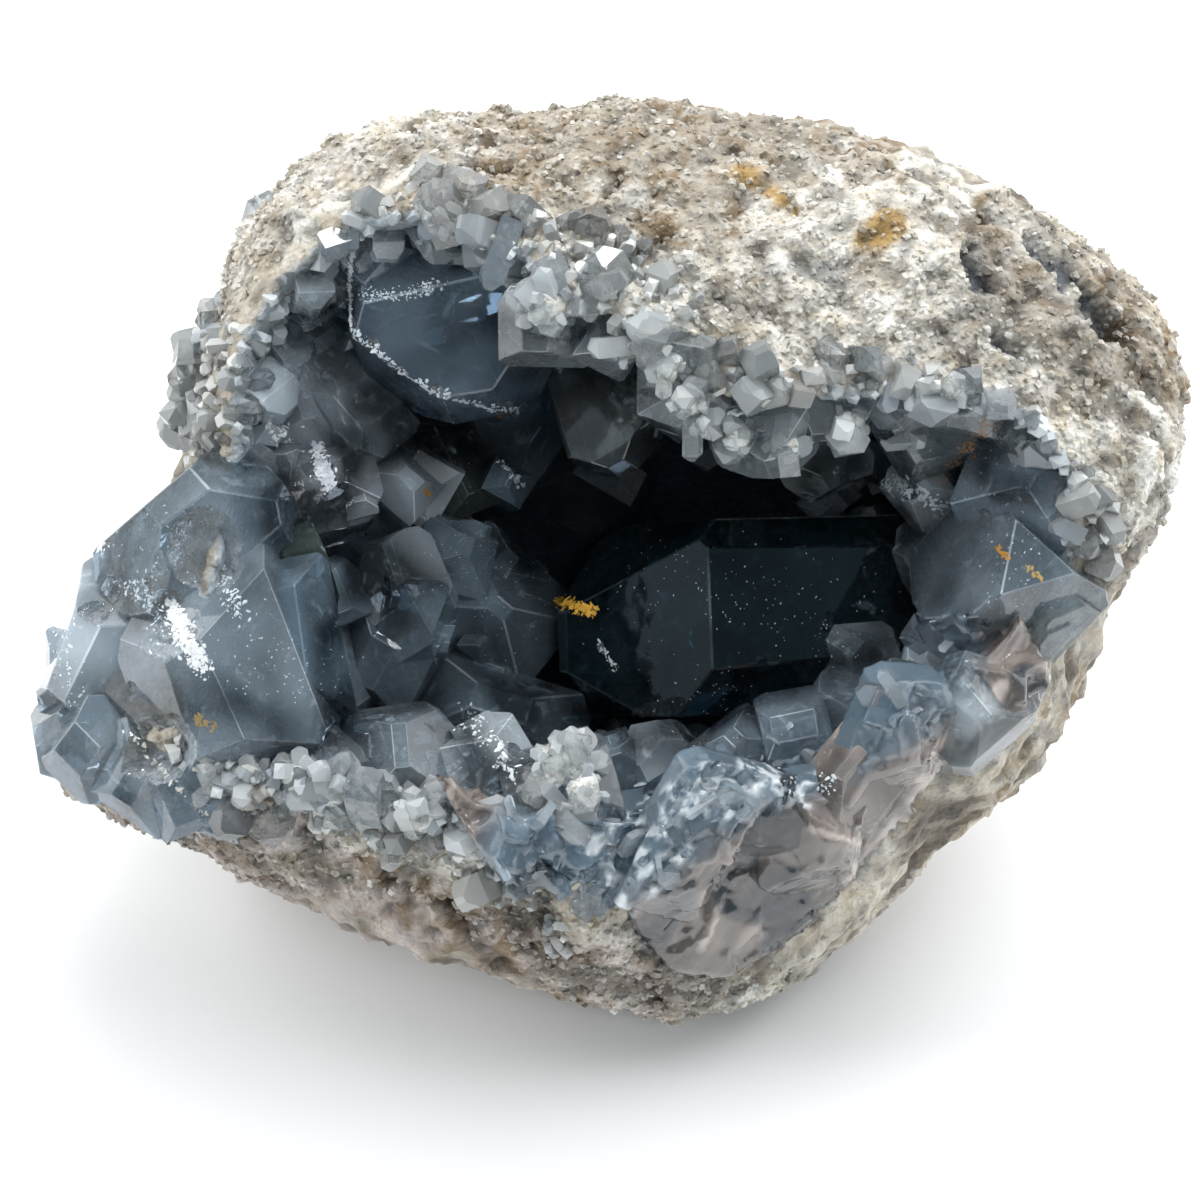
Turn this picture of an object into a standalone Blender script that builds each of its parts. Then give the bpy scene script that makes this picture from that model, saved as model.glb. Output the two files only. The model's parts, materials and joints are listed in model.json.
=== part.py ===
"""Celestite geode: half of a broken nodule, resting on a small flat spot.

A thick rind of pale rock holds a hollow whose wall is grown over with blocky
blue-grey celestite crystals. Lengths are in millimetres in this file and in
metres in Blender. World +Z is up, and the origin is on the ground under the
middle of the stone.

The stone is laid out in the mouth's frame, looking straight into the hollow:
u runs to the right, v up the mouth and w out of it, towards the onlooker.
"""

import math
import random

import bmesh
import bpy
from mathutils import Matrix, Vector, noise

MM = 0.001

# The mouth's frame in the world
MOUTH_RISE_DEG = 45.0  # how far the mouth looks up from the horizon
MOUTH_CENTRE = (-1.03, -3.68, 52.0)  # where u = v = w = 0 lies above the ground

# The nodule: its outline seen into the mouth, as (degrees from +u, mm)
NODULE_OUTLINE = [
    (4, 72.5), (15, 79.0), (23, 79.5), (31, 77.0), (38, 73.0), (46, 68.5),
    (60, 62.0), (78, 59.5), (97, 60.0), (107, 62.5), (125, 65.0), (137, 63.0),
    (146, 60.0), (156, 56.5), (169, 54.5), (181, 60.0), (194, 70.0), (200, 75.5),
    (206, 74.5), (217, 66.5), (227, 60.0), (242, 56.0), (253, 55.5), (269, 58.0),
    (282, 61.5), (293, 62.0), (301, 61.5), (320, 59.5), (336, 63.5), (350, 64.0),
    (358, 67.0),
]
FRONT_DEPTH = 37.0  # from the outline to the front of the nodule
BACK_DEPTH = 57.0  # from the outline to its back
ROUNDNESS = 2.3  # 2 is an ellipsoid, more is boxier
SPHERE_CUTS = 5  # icosphere subdivisions of the rind
VEIN_CUTS = 4  # and of the solid celestite behind its break
RIND_SHARE = 0.31  # of its triangles kept, which leaves uneven facets

# Flat breaks on the rind, as (outward direction in u, v, w; distance in mm).
# The first one is the crystalline break under the mouth's lower right.
BREAKS = [
    ((0.32, -0.52, 0.79), 43.3),
    ((0.80, 0.55, 0.20), 75.5),
    ((0.93, -0.30, -0.10), 65.0),
    ((-0.45, -0.86, 0.05), 57.0),
    ((0.10, 0.70, -0.70), 66.0),
    ((-0.75, 0.25, -0.60), 58.0),
    ((0.60, 0.05, -0.80), 62.0),
    ((0.05, 0.95, 0.30), 58.5),
]
SKIN = 2.8  # rock left outside the solid celestite behind the first break
VEIN_DEPTH = 7.0  # of that celestite

# Layers of the rind that end one above the other beside that break:
# (distance along the break's direction, drop in mm), all on the right flank
LEDGES = [(23, 0.8), (29, 1.0), (35, 0.8)]
LEDGE_RAMP = 0.4
LEDGE_SIDE = (0.75, -0.62, 0.20)

# Worn facets on the back, where the stone rolled: how many, share of the radius left
WORN_COUNT = 30
WORN_SHARE = 0.97
WORN_FROM = -0.42  # of the way to the back

# Lumps on the rind: (bumps per mm, height in mm)
LUMPS = [(0.022, 2.6), (0.055, 1.6), (0.13, 1.0)]

# The hollow: where its wall meets the mouth, as (degrees from +u, mm)
MOUTH_OUTLINE = [
    (0, 58.0), (10, 58.5), (18, 55.0), (25, 46.0), (32, 37.0), (41, 29.0),
    (56, 24.0), (74, 24.5), (90, 29.0), (104, 36.0), (111, 43.0), (118, 48.0),
    (129, 52.0), (140, 53.0), (149, 52.5), (158, 50.5), (167, 48.0), (180, 48.0),
    (191, 51.0), (201, 54.0), (210, 52.0), (218, 45.0), (228, 39.0), (244, 36.0),
    (265, 34.5), (287, 36.0), (303, 38.0), (318, 40.5), (332, 45.0), (345, 52.0),
]
# Where the crystals outside the mouth give way to bare rock
DRUSE_OUTLINE = [
    (0, 62.0), (16, 60.0), (22, 53.0), (30, 47.0), (43, 43.0), (54, 41.0),
    (65, 40.0), (76, 37.0), (88, 36.0), (98, 40.0), (106, 48.0), (112, 53.0),
    (120, 56.0), (136, 57.0), (150, 57.0), (161, 54.0), (170, 53.0), (184, 60.0),
    (194, 66.0), (204, 64.0), (212, 55.0), (222, 50.0), (235, 44.0), (248, 41.0),
    (269, 40.0), (290, 42.0), (320, 46.0), (340, 56.0),
]
# Levels of the hollow's wall: (w in mm, share of the mouth's radius)
HOLLOW_LEVELS = [
    (60, 1.06), (34, 1.02), (20, 1.00), (6, 0.90), (-6, 0.74), (-15, 0.54),
    (-20, 0.32),
]
HOLLOW_DEPTH = 22.5
HOLLOW_SIDES = 34
ROOF_UNDERCUT = 13.0  # how far the hollow runs up behind the roof's brow
ROOF_ANGLE_DEG = 62.0
ROOF_SPREAD_DEG = 55.0
ROOF_LEVEL = 2.0
ROOF_REACH = 24.0

FIT_GAP = 0.3  # between the crystal lining and the rock that it grew on
LINING_THICKNESS = 3.0
BED_THICKNESS = 1.6  # of the crust outside the mouth
LINING_SHARE = 0.68  # of its triangles kept: the rest only split flat faces

# Angles of celestite's faces, from the axis that each name starts with
PRISM_SLOPE_DEG = 52.0  # between the broad face and the side faces
END_SLOPE_DEG = 38.0  # between the long axis and the two end faces
DOME_SLOPE_DEG = 50.5  # between the long axis and the two dome faces
FACE_WOBBLE = 0.05  # how far a face is off its true angle
BLOCK_WIDTH = 9.5  # narrower crystals have no side faces besides the block's
STOUT_WIDTH = 14.0  # crystals wider than this are rooted deep in the rock
ROOT_DEPTH = 0.5
STOUT_ROOT_DEPTH = 6.0

# Crystals that stand out, in the mouth's frame:
# name: (tip u, v, w), (direction), (width, thickness, longest), roll in degrees
CRYSTALS = {
    # floor of the hollow
    "giant": ((-4.5, -8, 5), (-0.93, -0.03, 0.36), (33, 25, 54), 90),
    "floor_broad": ((-13, -4.5, 2), (0.25, 0.15, 0.95), (21, 18, 26), 20),
    "framed": ((-27, -1, 9), (-0.10, 0.30, 0.95), (12, 10, 24), 5),
    "floor_dark": ((-29.5, -12, 8), (-0.25, -0.10, 0.96), (13, 13, 24), 40),
    "floor_tip": ((-21.5, -10, 10), (0.45, -0.35, 0.82), (12, 11, 22), 30),
    "floor_ledge": ((-13.5, -18, 5), (0.10, 0.30, 0.95), (24, 12, 20), 0),
    "tall_dark": ((-20, 14.5, -2), (0.30, 0.20, 0.93), (12, 17, 22), 80),
    "back_low": ((-10, 17, -8), (0.20, -0.20, 0.96), (16, 14, 18), 10),
    "back_small": ((-12, 10.5, -2), (0.30, 0.10, 0.95), (6, 5, 16), 45),
    "back_deep": ((-0.5, 12, -14), (0.10, -0.10, 1.00), (18, 16, 14), 15),
    "spark": ((-23.5, 8.5, 3), (0.00, -0.20, 1.00), (9, 7, 18), 60),
    "mid_wedge": ((-18, 2.5, 4), (0.35, 0.35, 0.87), (10, 11, 20), 30),
    "green_blade": ((-40, 3, 20), (0.10, 0.45, 0.89), (17, 8, 32), 125),
    "left_slip": ((-35, -4, 10), (0.20, 0.20, 0.96), (10, 9, 24), 70),
    # left wall
    "wall_broad": ((-29.5, 22, 10), (0.45, 0.25, 0.86), (16, 14, 24), 10),
    "wall_upright": ((-38, 21, 13), (0.25, 0.10, 0.96), (9, 13, 24), 85),
    "wall_bright": ((-46, 19, 14), (-0.25, 0.10, 0.96), (11, 10, 24), 25),
    "edge_cube": ((-53, 20, 12), (-0.60, 0.20, 0.77), (8, 8, 18), 30),
    "edge_upper": ((-49.5, 28, 13), (-0.50, 0.30, 0.80), (11, 9, 18), 50),
    "wall_high": ((-43.5, 31.5, 12), (0.00, 0.10, 1.00), (11, 11, 18), 20),
    "wall_top": ((-36.5, 36, 10), (0.30, -0.30, 0.90), (13, 13, 20), 30),
    "wall_glint": ((-34, 11, 14), (0.20, 0.20, 0.96), (12, 12, 26), 60),
    "wall_striped": ((-47, 10, 14), (-0.20, 0.30, 0.93), (14, 10, 24), 130),
    "wall_edge": ((-53, 12, 10), (-0.60, 0.00, 0.80), (8, 8, 16), 10),
    "wall_low": ((-44, 5, 10), (0.10, 0.40, 0.90), (11, 9, 22), 40),
    "wall_inner": ((-24.5, 11.5, 6), (0.30, 0.20, 0.93), (9, 10, 20), 15),
    # upper left, under the roof's end
    "broken_big": ((-18.5, 20, 19), (0.12, -0.88, 0.46), (24, 19, 40), 5),
    "broken_side": ((-30, 33, 20), (-0.20, -0.60, 0.77), (12, 12, 24), 30),
    "broken_chip": ((-12.5, 19.5, 12), (0.30, -0.75, 0.59), (10, 9, 24), 40),
    # roof's brow
    "hanging_blade": ((4, 12, 15), (0.30, -0.88, 0.38), (15, 8, 32), 20),
    "brow_ball": ((-7.5, 27, 33), (-0.10, -0.35, 0.93), (12, 11, 18), 15),
    "brow_a": ((1.5, 25, 33), (0.10, -0.50, 0.86), (9, 8, 16), 50),
    "brow_b": ((8, 21, 35), (-0.20, -0.65, 0.73), (9, 9, 18), 100),
    "brow_c": ((10.5, 15, 33), (0.00, -0.80, 0.60), (10, 9, 20), 45),
    "brow_d": ((19.5, 11.5, 32), (0.10, -0.80, 0.59), (13, 10, 22), 10),
    "brow_e": ((28.5, 15, 30), (0.20, -0.75, 0.63), (11, 10, 20), 70),
    "brow_under": ((28, 10, 18), (0.10, -0.60, 0.80), (12, 11, 24), 20),
    "brow_f": ((35.5, 17.5, 30), (-0.10, -0.65, 0.75), (10, 9, 18), 35),
    "brow_g": ((39.5, 12.5, 20), (-0.30, -0.50, 0.81), (12, 10, 22), 60),
    "brow_h": ((44, 17, 28), (-0.20, -0.50, 0.84), (10, 9, 18), 15),
    "brow_i": ((51, 14, 26), (-0.40, -0.30, 0.87), (11, 10, 20), 10),
    # right wall
    "right_block": ((48.5, -6, 27), (-0.15, -0.20, 0.97), (17, 23, 34), 85),
    "right_upper": ((51, 9, 25), (-0.20, 0.10, 0.97), (16, 20, 34), 95),
    "right_bright": ((39, 8, 12), (-0.40, -0.20, 0.89), (10, 9, 22), 15),
    "right_dark": ((41, 1, 10), (-0.40, 0.10, 0.91), (12, 11, 22), 50),
    "right_fan": ((42, -8, 17), (-0.35, 0.45, 0.82), (12, 6, 26), 110),
    "small_cube": ((28, 7, 0), (-0.30, -0.20, 0.93), (5, 5, 18), 10),
    "right_mid": ((33.5, 0.5, 0), (-0.30, -0.10, 0.95), (11, 10, 20), 25),
    "right_deep": ((34, -6, 0), (-0.40, 0.00, 0.92), (12, 12, 18), 70),
    "right_round": ((30.5, -11, 11), (-0.25, 0.35, 0.90), (12, 12, 26), 20),
    "right_low": ((36.5, -17, 19), (-0.20, 0.45, 0.87), (13, 11, 26), 50),
    "rim_block": ((44, -17, 29), (-0.15, 0.30, 0.94), (13, 13, 26), 15),
    # lower right sill
    "sill_a": ((16, -22, 20), (-0.10, 0.50, 0.86), (11, 10, 24), 30),
    "sill_b": ((24, -20.5, 20), (0.00, 0.45, 0.89), (13, 9, 24), 100),
    "sill_c": ((30, -18, 17), (-0.10, 0.40, 0.90), (11, 10, 22), 45),
    "sill_d": ((11.5, -28, 29), (-0.10, 0.45, 0.89), (13, 10, 22), 20),
    "sill_e": ((4.5, -32, 29), (-0.20, 0.40, 0.89), (12, 9, 22), 75),
    "sill_f": ((20.5, -29, 30), (0.10, 0.40, 0.91), (13, 10, 22), 10),
    "sill_g": ((0.5, -24, 19), (0.10, 0.50, 0.86), (10, 8, 20), 30),
    "sill_h": ((31.5, -25, 29), (0.05, 0.35, 0.93), (14, 11, 22), 60),
    "sill_i": ((-2, -38, 29), (-0.10, 0.10, 0.99), (12, 10, 20), 10),
    "flake_a": ((14, -38, 34.5), (0.38, -0.50, 0.78), (22, 15, 10), 30),
    "flake_b": ((28, -38, 28), (0.38, -0.50, 0.78), (18, 12, 10), 50),
    "flake_c": ((38, -25, 31), (0.38, -0.50, 0.78), (17, 11, 10), 40),
    # lower rim
    "rim_hexagon": ((-25.5, -22.5, 28), (-0.05, 0.35, 0.93), (14, 13.5, 28), 0),
    "rim_wedge": ((-14.5, -23, 28), (0.15, 0.40, 0.90), (12, 12, 28), 50),
    "rim_lump": ((-5.5, -27, 33), (0.00, 0.30, 0.95), (14, 13, 24), 15),
    "rim_small": ((-34, -25.5, 28), (-0.10, 0.30, 0.95), (9, 8, 20), 30),
    # big crystals over the left rim
    "left_upper": ((-54.5, 7, 25), (-0.30, 0.50, 0.81), (26, 18, 44), 10),
    "left_outer": ((-66, -12.5, 20), (-0.62, 0.05, 0.78), (20, 27, 38), 65),
    "left_broken": ((-50.5, -13, 32), (-0.20, -0.10, 0.97), (22, 30, 40), 85),
    "left_inner": ((-40, -12.5, 28), (0.20, 0.10, 0.97), (18, 25, 36), 75),
    "left_glassy": ((-55, -23, 27), (-0.30, -0.35, 0.89), (15, 18, 30), 60),
    "left_tail": ((-68, -19, 14), (-0.60, -0.30, 0.74), (14, 16, 26), 50),
    "left_foot": ((-44, -23, 29), (0.00, -0.05, 1.00), (15, 13, 28), 20),
}

# Crystals between those, scattered by rule over the wall of the hollow
FILL_COUNT = 70
FILL_WIDTH = (7.0, 12.0)
FILL_LENGTH = (11.0, 16.0)
FILL_AIM = (4.0, -2.0, 34.0)  # they lean towards this point in the mouth

# Small crystals on the rim, between the mouth and the bare rock
RIM_COUNT = 110
RIM_WIDTH = (4.5, 8.0)
RIM_LENGTH = 8.0
RIM_PEEK = (3.0, 5.0)  # how far they stand out of the rock

# A row of them along the lower lip, right at the edge of the hollow
LIP_COUNT = 15
LIP_FROM_DEG = 205.0
LIP_TO_DEG = 263.0
LIP_WIDTH = (7.0, 10.5)

SEED = 7


def clear_scene():
    for obj in list(bpy.data.objects):
        bpy.data.objects.remove(obj)


def smooth_ring(points):
    """A function that gives the radius at any angle, smooth through (degrees, mm)."""
    count = len(points)

    def knot(i):
        turn, index = divmod(i, count)
        return points[index][0] + 360 * turn, points[index][1]

    def slope(i):
        (a0, r0), (a1, r1) = knot(i - 1), knot(i + 1)
        return (r1 - r0) / (a1 - a0)

    def radius(angle):
        angle = (angle - points[0][0]) % 360 + points[0][0]
        i = max(k for k in range(count) if points[k][0] <= angle)
        (a0, r0), (a1, r1) = knot(i), knot(i + 1)
        span = a1 - a0
        t = (angle - a0) / span
        return (
            r0 * (2 * t**3 - 3 * t**2 + 1)
            + slope(i) * span * (t**3 - 2 * t**2 + t)
            + r1 * (3 * t**2 - 2 * t**3)
            + slope(i + 1) * span * (t**3 - t**2)
        )

    return radius


outline_radius = smooth_ring(NODULE_OUTLINE)
mouth_radius = smooth_ring(MOUTH_OUTLINE)
druse_radius = smooth_ring(DRUSE_OUTLINE)


def round_radius(direction):
    """How far the rounded nodule reaches along a unit vector."""
    u, v, w = direction
    across = math.hypot(u, v)
    outline = outline_radius(math.degrees(math.atan2(v, u)))
    depth = FRONT_DEPTH if w > 0 else BACK_DEPTH
    reach = (across / outline) ** ROUNDNESS + (abs(w) / depth) ** ROUNDNESS
    return reach ** (-1 / ROUNDNESS)


def worn_facets():
    """Flats spread evenly over the back, as (outward direction, distance)."""
    flats = []
    for i in range(WORN_COUNT):
        w = WORN_FROM - (1 + WORN_FROM) * (i + 0.5) / WORN_COUNT
        turn = math.radians(i * 137.508)
        across = math.sqrt(1 - w * w)
        outward = Vector((across * math.cos(turn), across * math.sin(turn), w))
        flats.append((outward, round_radius(outward) * WORN_SHARE))
    return flats


WORN_FACETS = worn_facets()


def nodule_radius(direction, breaks=BREAKS):
    """How far the rind's surface is from the middle along a unit vector."""
    radius = round_radius(direction)
    for normal, distance in [*breaks, *WORN_FACETS]:
        facing = Vector(normal).normalized().dot(direction)
        if facing > 0:
            radius = min(radius, distance / facing)
    spot = direction * radius
    for fineness, height in LUMPS:
        radius += height * noise.noise(spot * fineness + Vector((fineness * 900, 3, 8)))
    return radius


def hollow_share(level):
    """The share of the mouth's radius that the hollow has at a level."""
    if level >= HOLLOW_LEVELS[0][0]:
        return HOLLOW_LEVELS[0][1]
    for (w0, share0), (w1, share1) in zip(HOLLOW_LEVELS, HOLLOW_LEVELS[1:]):
        if level >= w1:
            return share1 + (share0 - share1) * (level - w1) / (w0 - w1)
    return 0.0


def hollow_radius(angle, level):
    """The hollow's wall: a funnel that runs up behind the brow of the roof."""
    turn = (angle - ROOF_ANGLE_DEG + 180) % 360 - 180
    sideways = max(0.0, 1 - (turn / ROOF_SPREAD_DEG) ** 2)
    deep = max(0.0, 1 - ((level - ROOF_LEVEL) / ROOF_REACH) ** 2)
    return mouth_radius(angle) * hollow_share(level) + ROOF_UNDERCUT * sideways * deep


def object_from(bm, name, frame, colour=None, roughness=0.5):
    """Stores a bmesh made in millimetres as an object in the mouth's frame."""
    bmesh.ops.scale(bm, vec=(MM, MM, MM), verts=bm.verts)
    mesh = bpy.data.meshes.new(name)
    bm.to_mesh(mesh)
    bm.free()
    obj = bpy.data.objects.new(name, mesh)
    bpy.context.scene.collection.objects.link(obj)
    obj.parent = frame
    if colour:
        mesh.materials.append(material(name, colour, roughness))
    else:
        obj.hide_render = True
        obj.display_type = "WIRE"
    return obj


def material(name, colour, roughness):
    mat = bpy.data.materials.new(name)
    mat.use_nodes = True
    shader = mat.node_tree.nodes["Principled BSDF"]
    shader.inputs["Base Color"].default_value = (*colour, 1)
    shader.inputs["Roughness"].default_value = roughness
    shader.inputs["Metallic"].default_value = 0.0
    return mat


def mouth_frame():
    frame = bpy.data.objects.new("mouth_frame", None)
    bpy.context.scene.collection.objects.link(frame)
    frame.location = [x * MM for x in MOUTH_CENTRE]
    frame.rotation_euler = (math.radians(90 - MOUTH_RISE_DEG), 0, 0)
    return frame


def cut_away(bm, point, normal):
    """Removes what lies beyond a plane and closes the cut."""
    cut = bmesh.ops.bisect_plane(
        bm,
        geom=bm.verts[:] + bm.edges[:] + bm.faces[:],
        plane_co=point,
        plane_no=normal,
        clear_outer=True,
    )
    rim = [e for e in cut["geom_cut"] if isinstance(e, bmesh.types.BMEdge)]
    if len(rim) > 2:
        bmesh.ops.contextual_create(bm, geom=rim)


def add_ledge(bm, distance, drop):
    """Lowers the right flank by one layer, from a sharp step towards the break."""
    towards = Vector(BREAKS[0][0]).normalized()
    for along in (distance, distance + LEDGE_RAMP):
        bmesh.ops.bisect_plane(
            bm,
            geom=bm.verts[:] + bm.edges[:] + bm.faces[:],
            plane_co=towards * along,
            plane_no=towards,
        )
    flank = Vector(LEDGE_SIDE).normalized()
    for vert in bm.verts:
        outward = vert.co.normalized()
        on_flank = min(max(3 * (outward.dot(flank) - 0.55), 0.0), 1.0)
        if vert.co.dot(towards) > distance + LEDGE_RAMP / 2:
            vert.co -= outward * drop * on_flank


def nodule_bmesh(cuts=SPHERE_CUTS, breaks=BREAKS, grow=0.0):
    bm = bmesh.new()
    bmesh.ops.create_icosphere(bm, subdivisions=cuts, radius=1.0)
    for vert in bm.verts:
        direction = vert.co.normalized()
        vert.co = direction * (nodule_radius(direction, breaks) + grow)
    for distance, drop in LEDGES:
        add_ledge(bm, distance, drop)
    return bm


def make_nodule(name, frame, grow=0.0, colour=None):
    """The whole nodule, with uneven facets."""
    nodule = object_from(nodule_bmesh(), name, frame, colour, 0.9)
    facets = nodule.modifiers.new("facets", "DECIMATE")
    facets.ratio = RIND_SHARE
    if grow:
        swell = nodule.modifiers.new("grow", "DISPLACE")
        swell.strength = grow * MM
        swell.mid_level = 0.0
    return nodule


def make_ground(frame):
    """A block whose top is the ground that the stone is worn flat on."""
    bm = bmesh.new()
    bmesh.ops.create_cube(bm, size=200.0)
    ground = object_from(bm, "ground", frame)
    ground.parent = None
    ground.location = (0, 0, -100 * MM)
    return ground


def make_vein(name, frame, inset):
    """The solid celestite behind the first break, with a skin of rock around it."""
    normal, distance = BREAKS[0]
    bm = nodule_bmesh(VEIN_CUTS, BREAKS[1:], -SKIN - inset)
    outward = Vector(normal).normalized()
    cut_away(bm, outward * (distance - VEIN_DEPTH + inset), -outward)
    return object_from(bm, name, frame)


def funnel_bmesh(radius_at, deepest, side_count=HOLLOW_SIDES):
    """A closed funnel around +w, its radius given at each angle and level."""
    bm = bmesh.new()
    rings = []
    for level, _ in HOLLOW_LEVELS:
        ring = []
        for side in range(side_count):
            turn = math.tau * side / side_count
            radius = radius_at(math.degrees(turn), level)
            ring.append(bm.verts.new((radius * math.cos(turn), radius * math.sin(turn), level)))
        rings.append(ring)
    bottom = bm.verts.new((0, 0, deepest))
    top = bm.verts.new((0, 0, HOLLOW_LEVELS[0][0]))
    for side in range(side_count):
        after = (side + 1) % side_count
        for upper, lower in zip(rings, rings[1:]):
            bm.faces.new((upper[side], lower[side], lower[after], upper[after]))
        bm.faces.new((rings[-1][side], bottom, rings[-1][after]))
        bm.faces.new((rings[0][after], top, rings[0][side]))
    bmesh.ops.triangulate(bm, faces=bm.faces)
    bmesh.ops.recalc_face_normals(bm, faces=bm.faces)
    return bm


def make_hollow(name, frame, inset):
    """The space of the hollow, its wall moved in by the inset."""
    bm = funnel_bmesh(lambda a, w: hollow_radius(a, w) - inset, inset - HOLLOW_DEPTH)
    return object_from(bm, name, frame)


def crystal_bmesh(width, thickness, length, chance):
    """One celestite crystal with its root at the origin and its tip at +Z.

    The block is cut by the faces that such crystals grow: a roof of two end
    faces and two dome faces, and four slanted side faces on a larger one.
    """
    bm = bmesh.new()
    bmesh.ops.create_cube(bm, size=1.0)
    for vert in bm.verts:
        vert.co = Vector((vert.co.x * width, vert.co.y * thickness, (vert.co.z + 0.5) * length))
    side, end, dome = (math.radians(x) for x in (PRISM_SLOPE_DEG, END_SLOPE_DEG, DOME_SLOPE_DEG))
    half, thin = width / 2, thickness / 2
    faces = []
    for x in (-1, 1):
        reach = length * math.cos(end) + chance.uniform(0.0, 0.12) * width
        faces.append(((x * math.sin(end), 0, math.cos(end)), reach))
    for y in (-1, 1):
        reach = length * math.cos(dome) + chance.uniform(0.0, 0.30) * thickness
        faces.append(((0, y * math.sin(dome), math.cos(dome)), reach))
    for x, y in ((-1, -1), (-1, 1), (1, -1), (1, 1)):
        if width > BLOCK_WIDTH:
            keep = chance.uniform(0.35, 0.95)
            reach = half * math.sin(side) + keep * thin * math.cos(side)
            faces.append(((x * math.sin(side), y * math.cos(side), 0), reach))
    for normal, reach in faces:
        wobble = Vector([chance.uniform(-FACE_WOBBLE, FACE_WOBBLE) for _ in range(3)])
        cut_away(bm, Vector(normal) * reach, Vector(normal) + wobble)
    return bm


def in_rock(point, depth):
    """Whether a point lies in the rock, at least this deep under its surface."""
    angle = math.degrees(math.atan2(point.y, point.x))
    across = math.hypot(point.x, point.y)
    off_wall = across > hollow_radius(angle, point.z) + depth
    below = point.z < -HOLLOW_DEPTH - depth
    inside = point.length < nodule_radius(point.normalized()) - depth
    return (off_wall or below) and inside


def rooted_length(tip, axis, width, longest):
    """How long a crystal is from its tip to its root in the rock."""
    depth = STOUT_ROOT_DEPTH if width > STOUT_WIDTH else ROOT_DEPTH
    length = 4.0
    while length < longest and not in_rock(tip - axis * length, depth):
        length += 0.5
    return length


def place_crystal(name, tip, direction, size, roll_deg, frame, chance):
    width, thickness, longest = size
    axis = Vector(direction).normalized()
    length = rooted_length(Vector(tip), axis, width, longest)
    bm = crystal_bmesh(width, thickness, length, chance)
    turn = axis.to_track_quat("Z", "Y").to_matrix().to_4x4()
    roll = Matrix.Rotation(math.radians(roll_deg), 4, "Z")
    bm.transform(Matrix.Translation(Vector(tip) - axis * length) @ turn @ roll)
    return object_from(bm, "crystal_" + name, frame)


def crowded(tip, width):
    """Whether a scattered crystal would only bury itself in one that stands out."""
    for other, direction, size, _ in CRYSTALS.values():
        axis = Vector(direction).normalized()
        along = min(max((Vector(other) - tip).dot(axis), 0.0), size[2])
        nearest = Vector(other) - axis * along
        if (tip - nearest).length < 0.42 * size[0] + 0.2 * width:
            return True
    return False


def lean(direction, most, chance):
    tilt = Vector([chance.uniform(-most, most) for _ in range(3)])
    return (direction.normalized() + tilt).normalized()


def fill_crystals(frame, chance):
    """Crystals spread evenly over the hollow's wall, leaning towards the mouth."""
    made = []
    for i in range(FILL_COUNT):
        level = 29 - 45 * (i + 0.5) / FILL_COUNT
        angle = (i * 222.492) % 360
        wall, turn = hollow_radius(angle, level), math.radians(angle)
        foot = Vector((wall * math.cos(turn), wall * math.sin(turn), level))
        direction = lean(Vector(FILL_AIM) - foot, 0.3, chance)
        width = chance.uniform(*FILL_WIDTH)
        size = (width, width * chance.uniform(0.6, 1.0), chance.uniform(*FILL_LENGTH))
        tip = foot + direction * (size[2] - 3.0)
        roll = chance.uniform(0, 180)
        if not crowded(tip, width):
            made.append(place_crystal(f"fill_{i:02d}", tip, direction, size, roll, frame, chance))
    return made


def rim_crystal(name, angle, across, width, frame, chance):
    """A small crystal that stands out of the rock's front, or None in a crowd."""
    turn = math.radians(angle)
    share = min(across / outline_radius(angle), 0.97) ** ROUNDNESS
    rise = FRONT_DEPTH * (1 - share) ** (1 / ROUNDNESS)
    spot = Vector((across * math.cos(turn), across * math.sin(turn), rise)).normalized()
    foot = spot * nodule_radius(spot)
    outward = Vector((foot.x / 60, foot.y / 60, 0.6 + foot.z / 60))
    direction = lean(outward, 0.35, chance)
    tip = foot + direction * chance.uniform(*RIM_PEEK)
    size = (width, width * chance.uniform(0.7, 1.0), RIM_LENGTH)
    roll = chance.uniform(0, 180)
    if crowded(tip, width) and name.startswith("rim"):
        return None
    return place_crystal(name, tip, direction, size, roll, frame, chance)


def rim_crystals(frame, chance):
    """Small crystals around the mouth, spread evenly, and the row on its lower lip."""
    made = []
    for i in range(RIM_COUNT):
        angle = (i * 222.492) % 360
        inner, outer = mouth_radius(angle) - 0.5, druse_radius(angle) - 1.0
        across = inner + (outer - inner) * chance.random()
        width = chance.uniform(*RIM_WIDTH)
        made.append(rim_crystal(f"rim_{i:03d}", angle, across, width, frame, chance))
    for i in range(LIP_COUNT):
        angle = LIP_FROM_DEG + (LIP_TO_DEG - LIP_FROM_DEG) * (i + 0.5) / LIP_COUNT
        across = mouth_radius(angle) + chance.uniform(-1.0, 3.0)
        width = chance.uniform(*LIP_WIDTH)
        made.append(rim_crystal(f"lip_{i:02d}", angle, across, width, frame, chance))
    return [crystal for crystal in made if crystal]


def boolean(obj, operation, other=None, collection=None):
    cut = obj.modifiers.new(operation.lower(), "BOOLEAN")
    cut.operation = operation
    cut.solver = "EXACT"
    if collection:
        cut.operand_type = "COLLECTION"
        cut.collection = collection
    else:
        cut.object = other


def piece_around(vert):
    """The vertices that edges join to this one."""
    found, waiting = {vert}, [vert]
    while waiting:
        for edge in waiting.pop().link_edges:
            for other in edge.verts:
                if other not in found:
                    found.add(other)
                    waiting.append(other)
    return found


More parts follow.
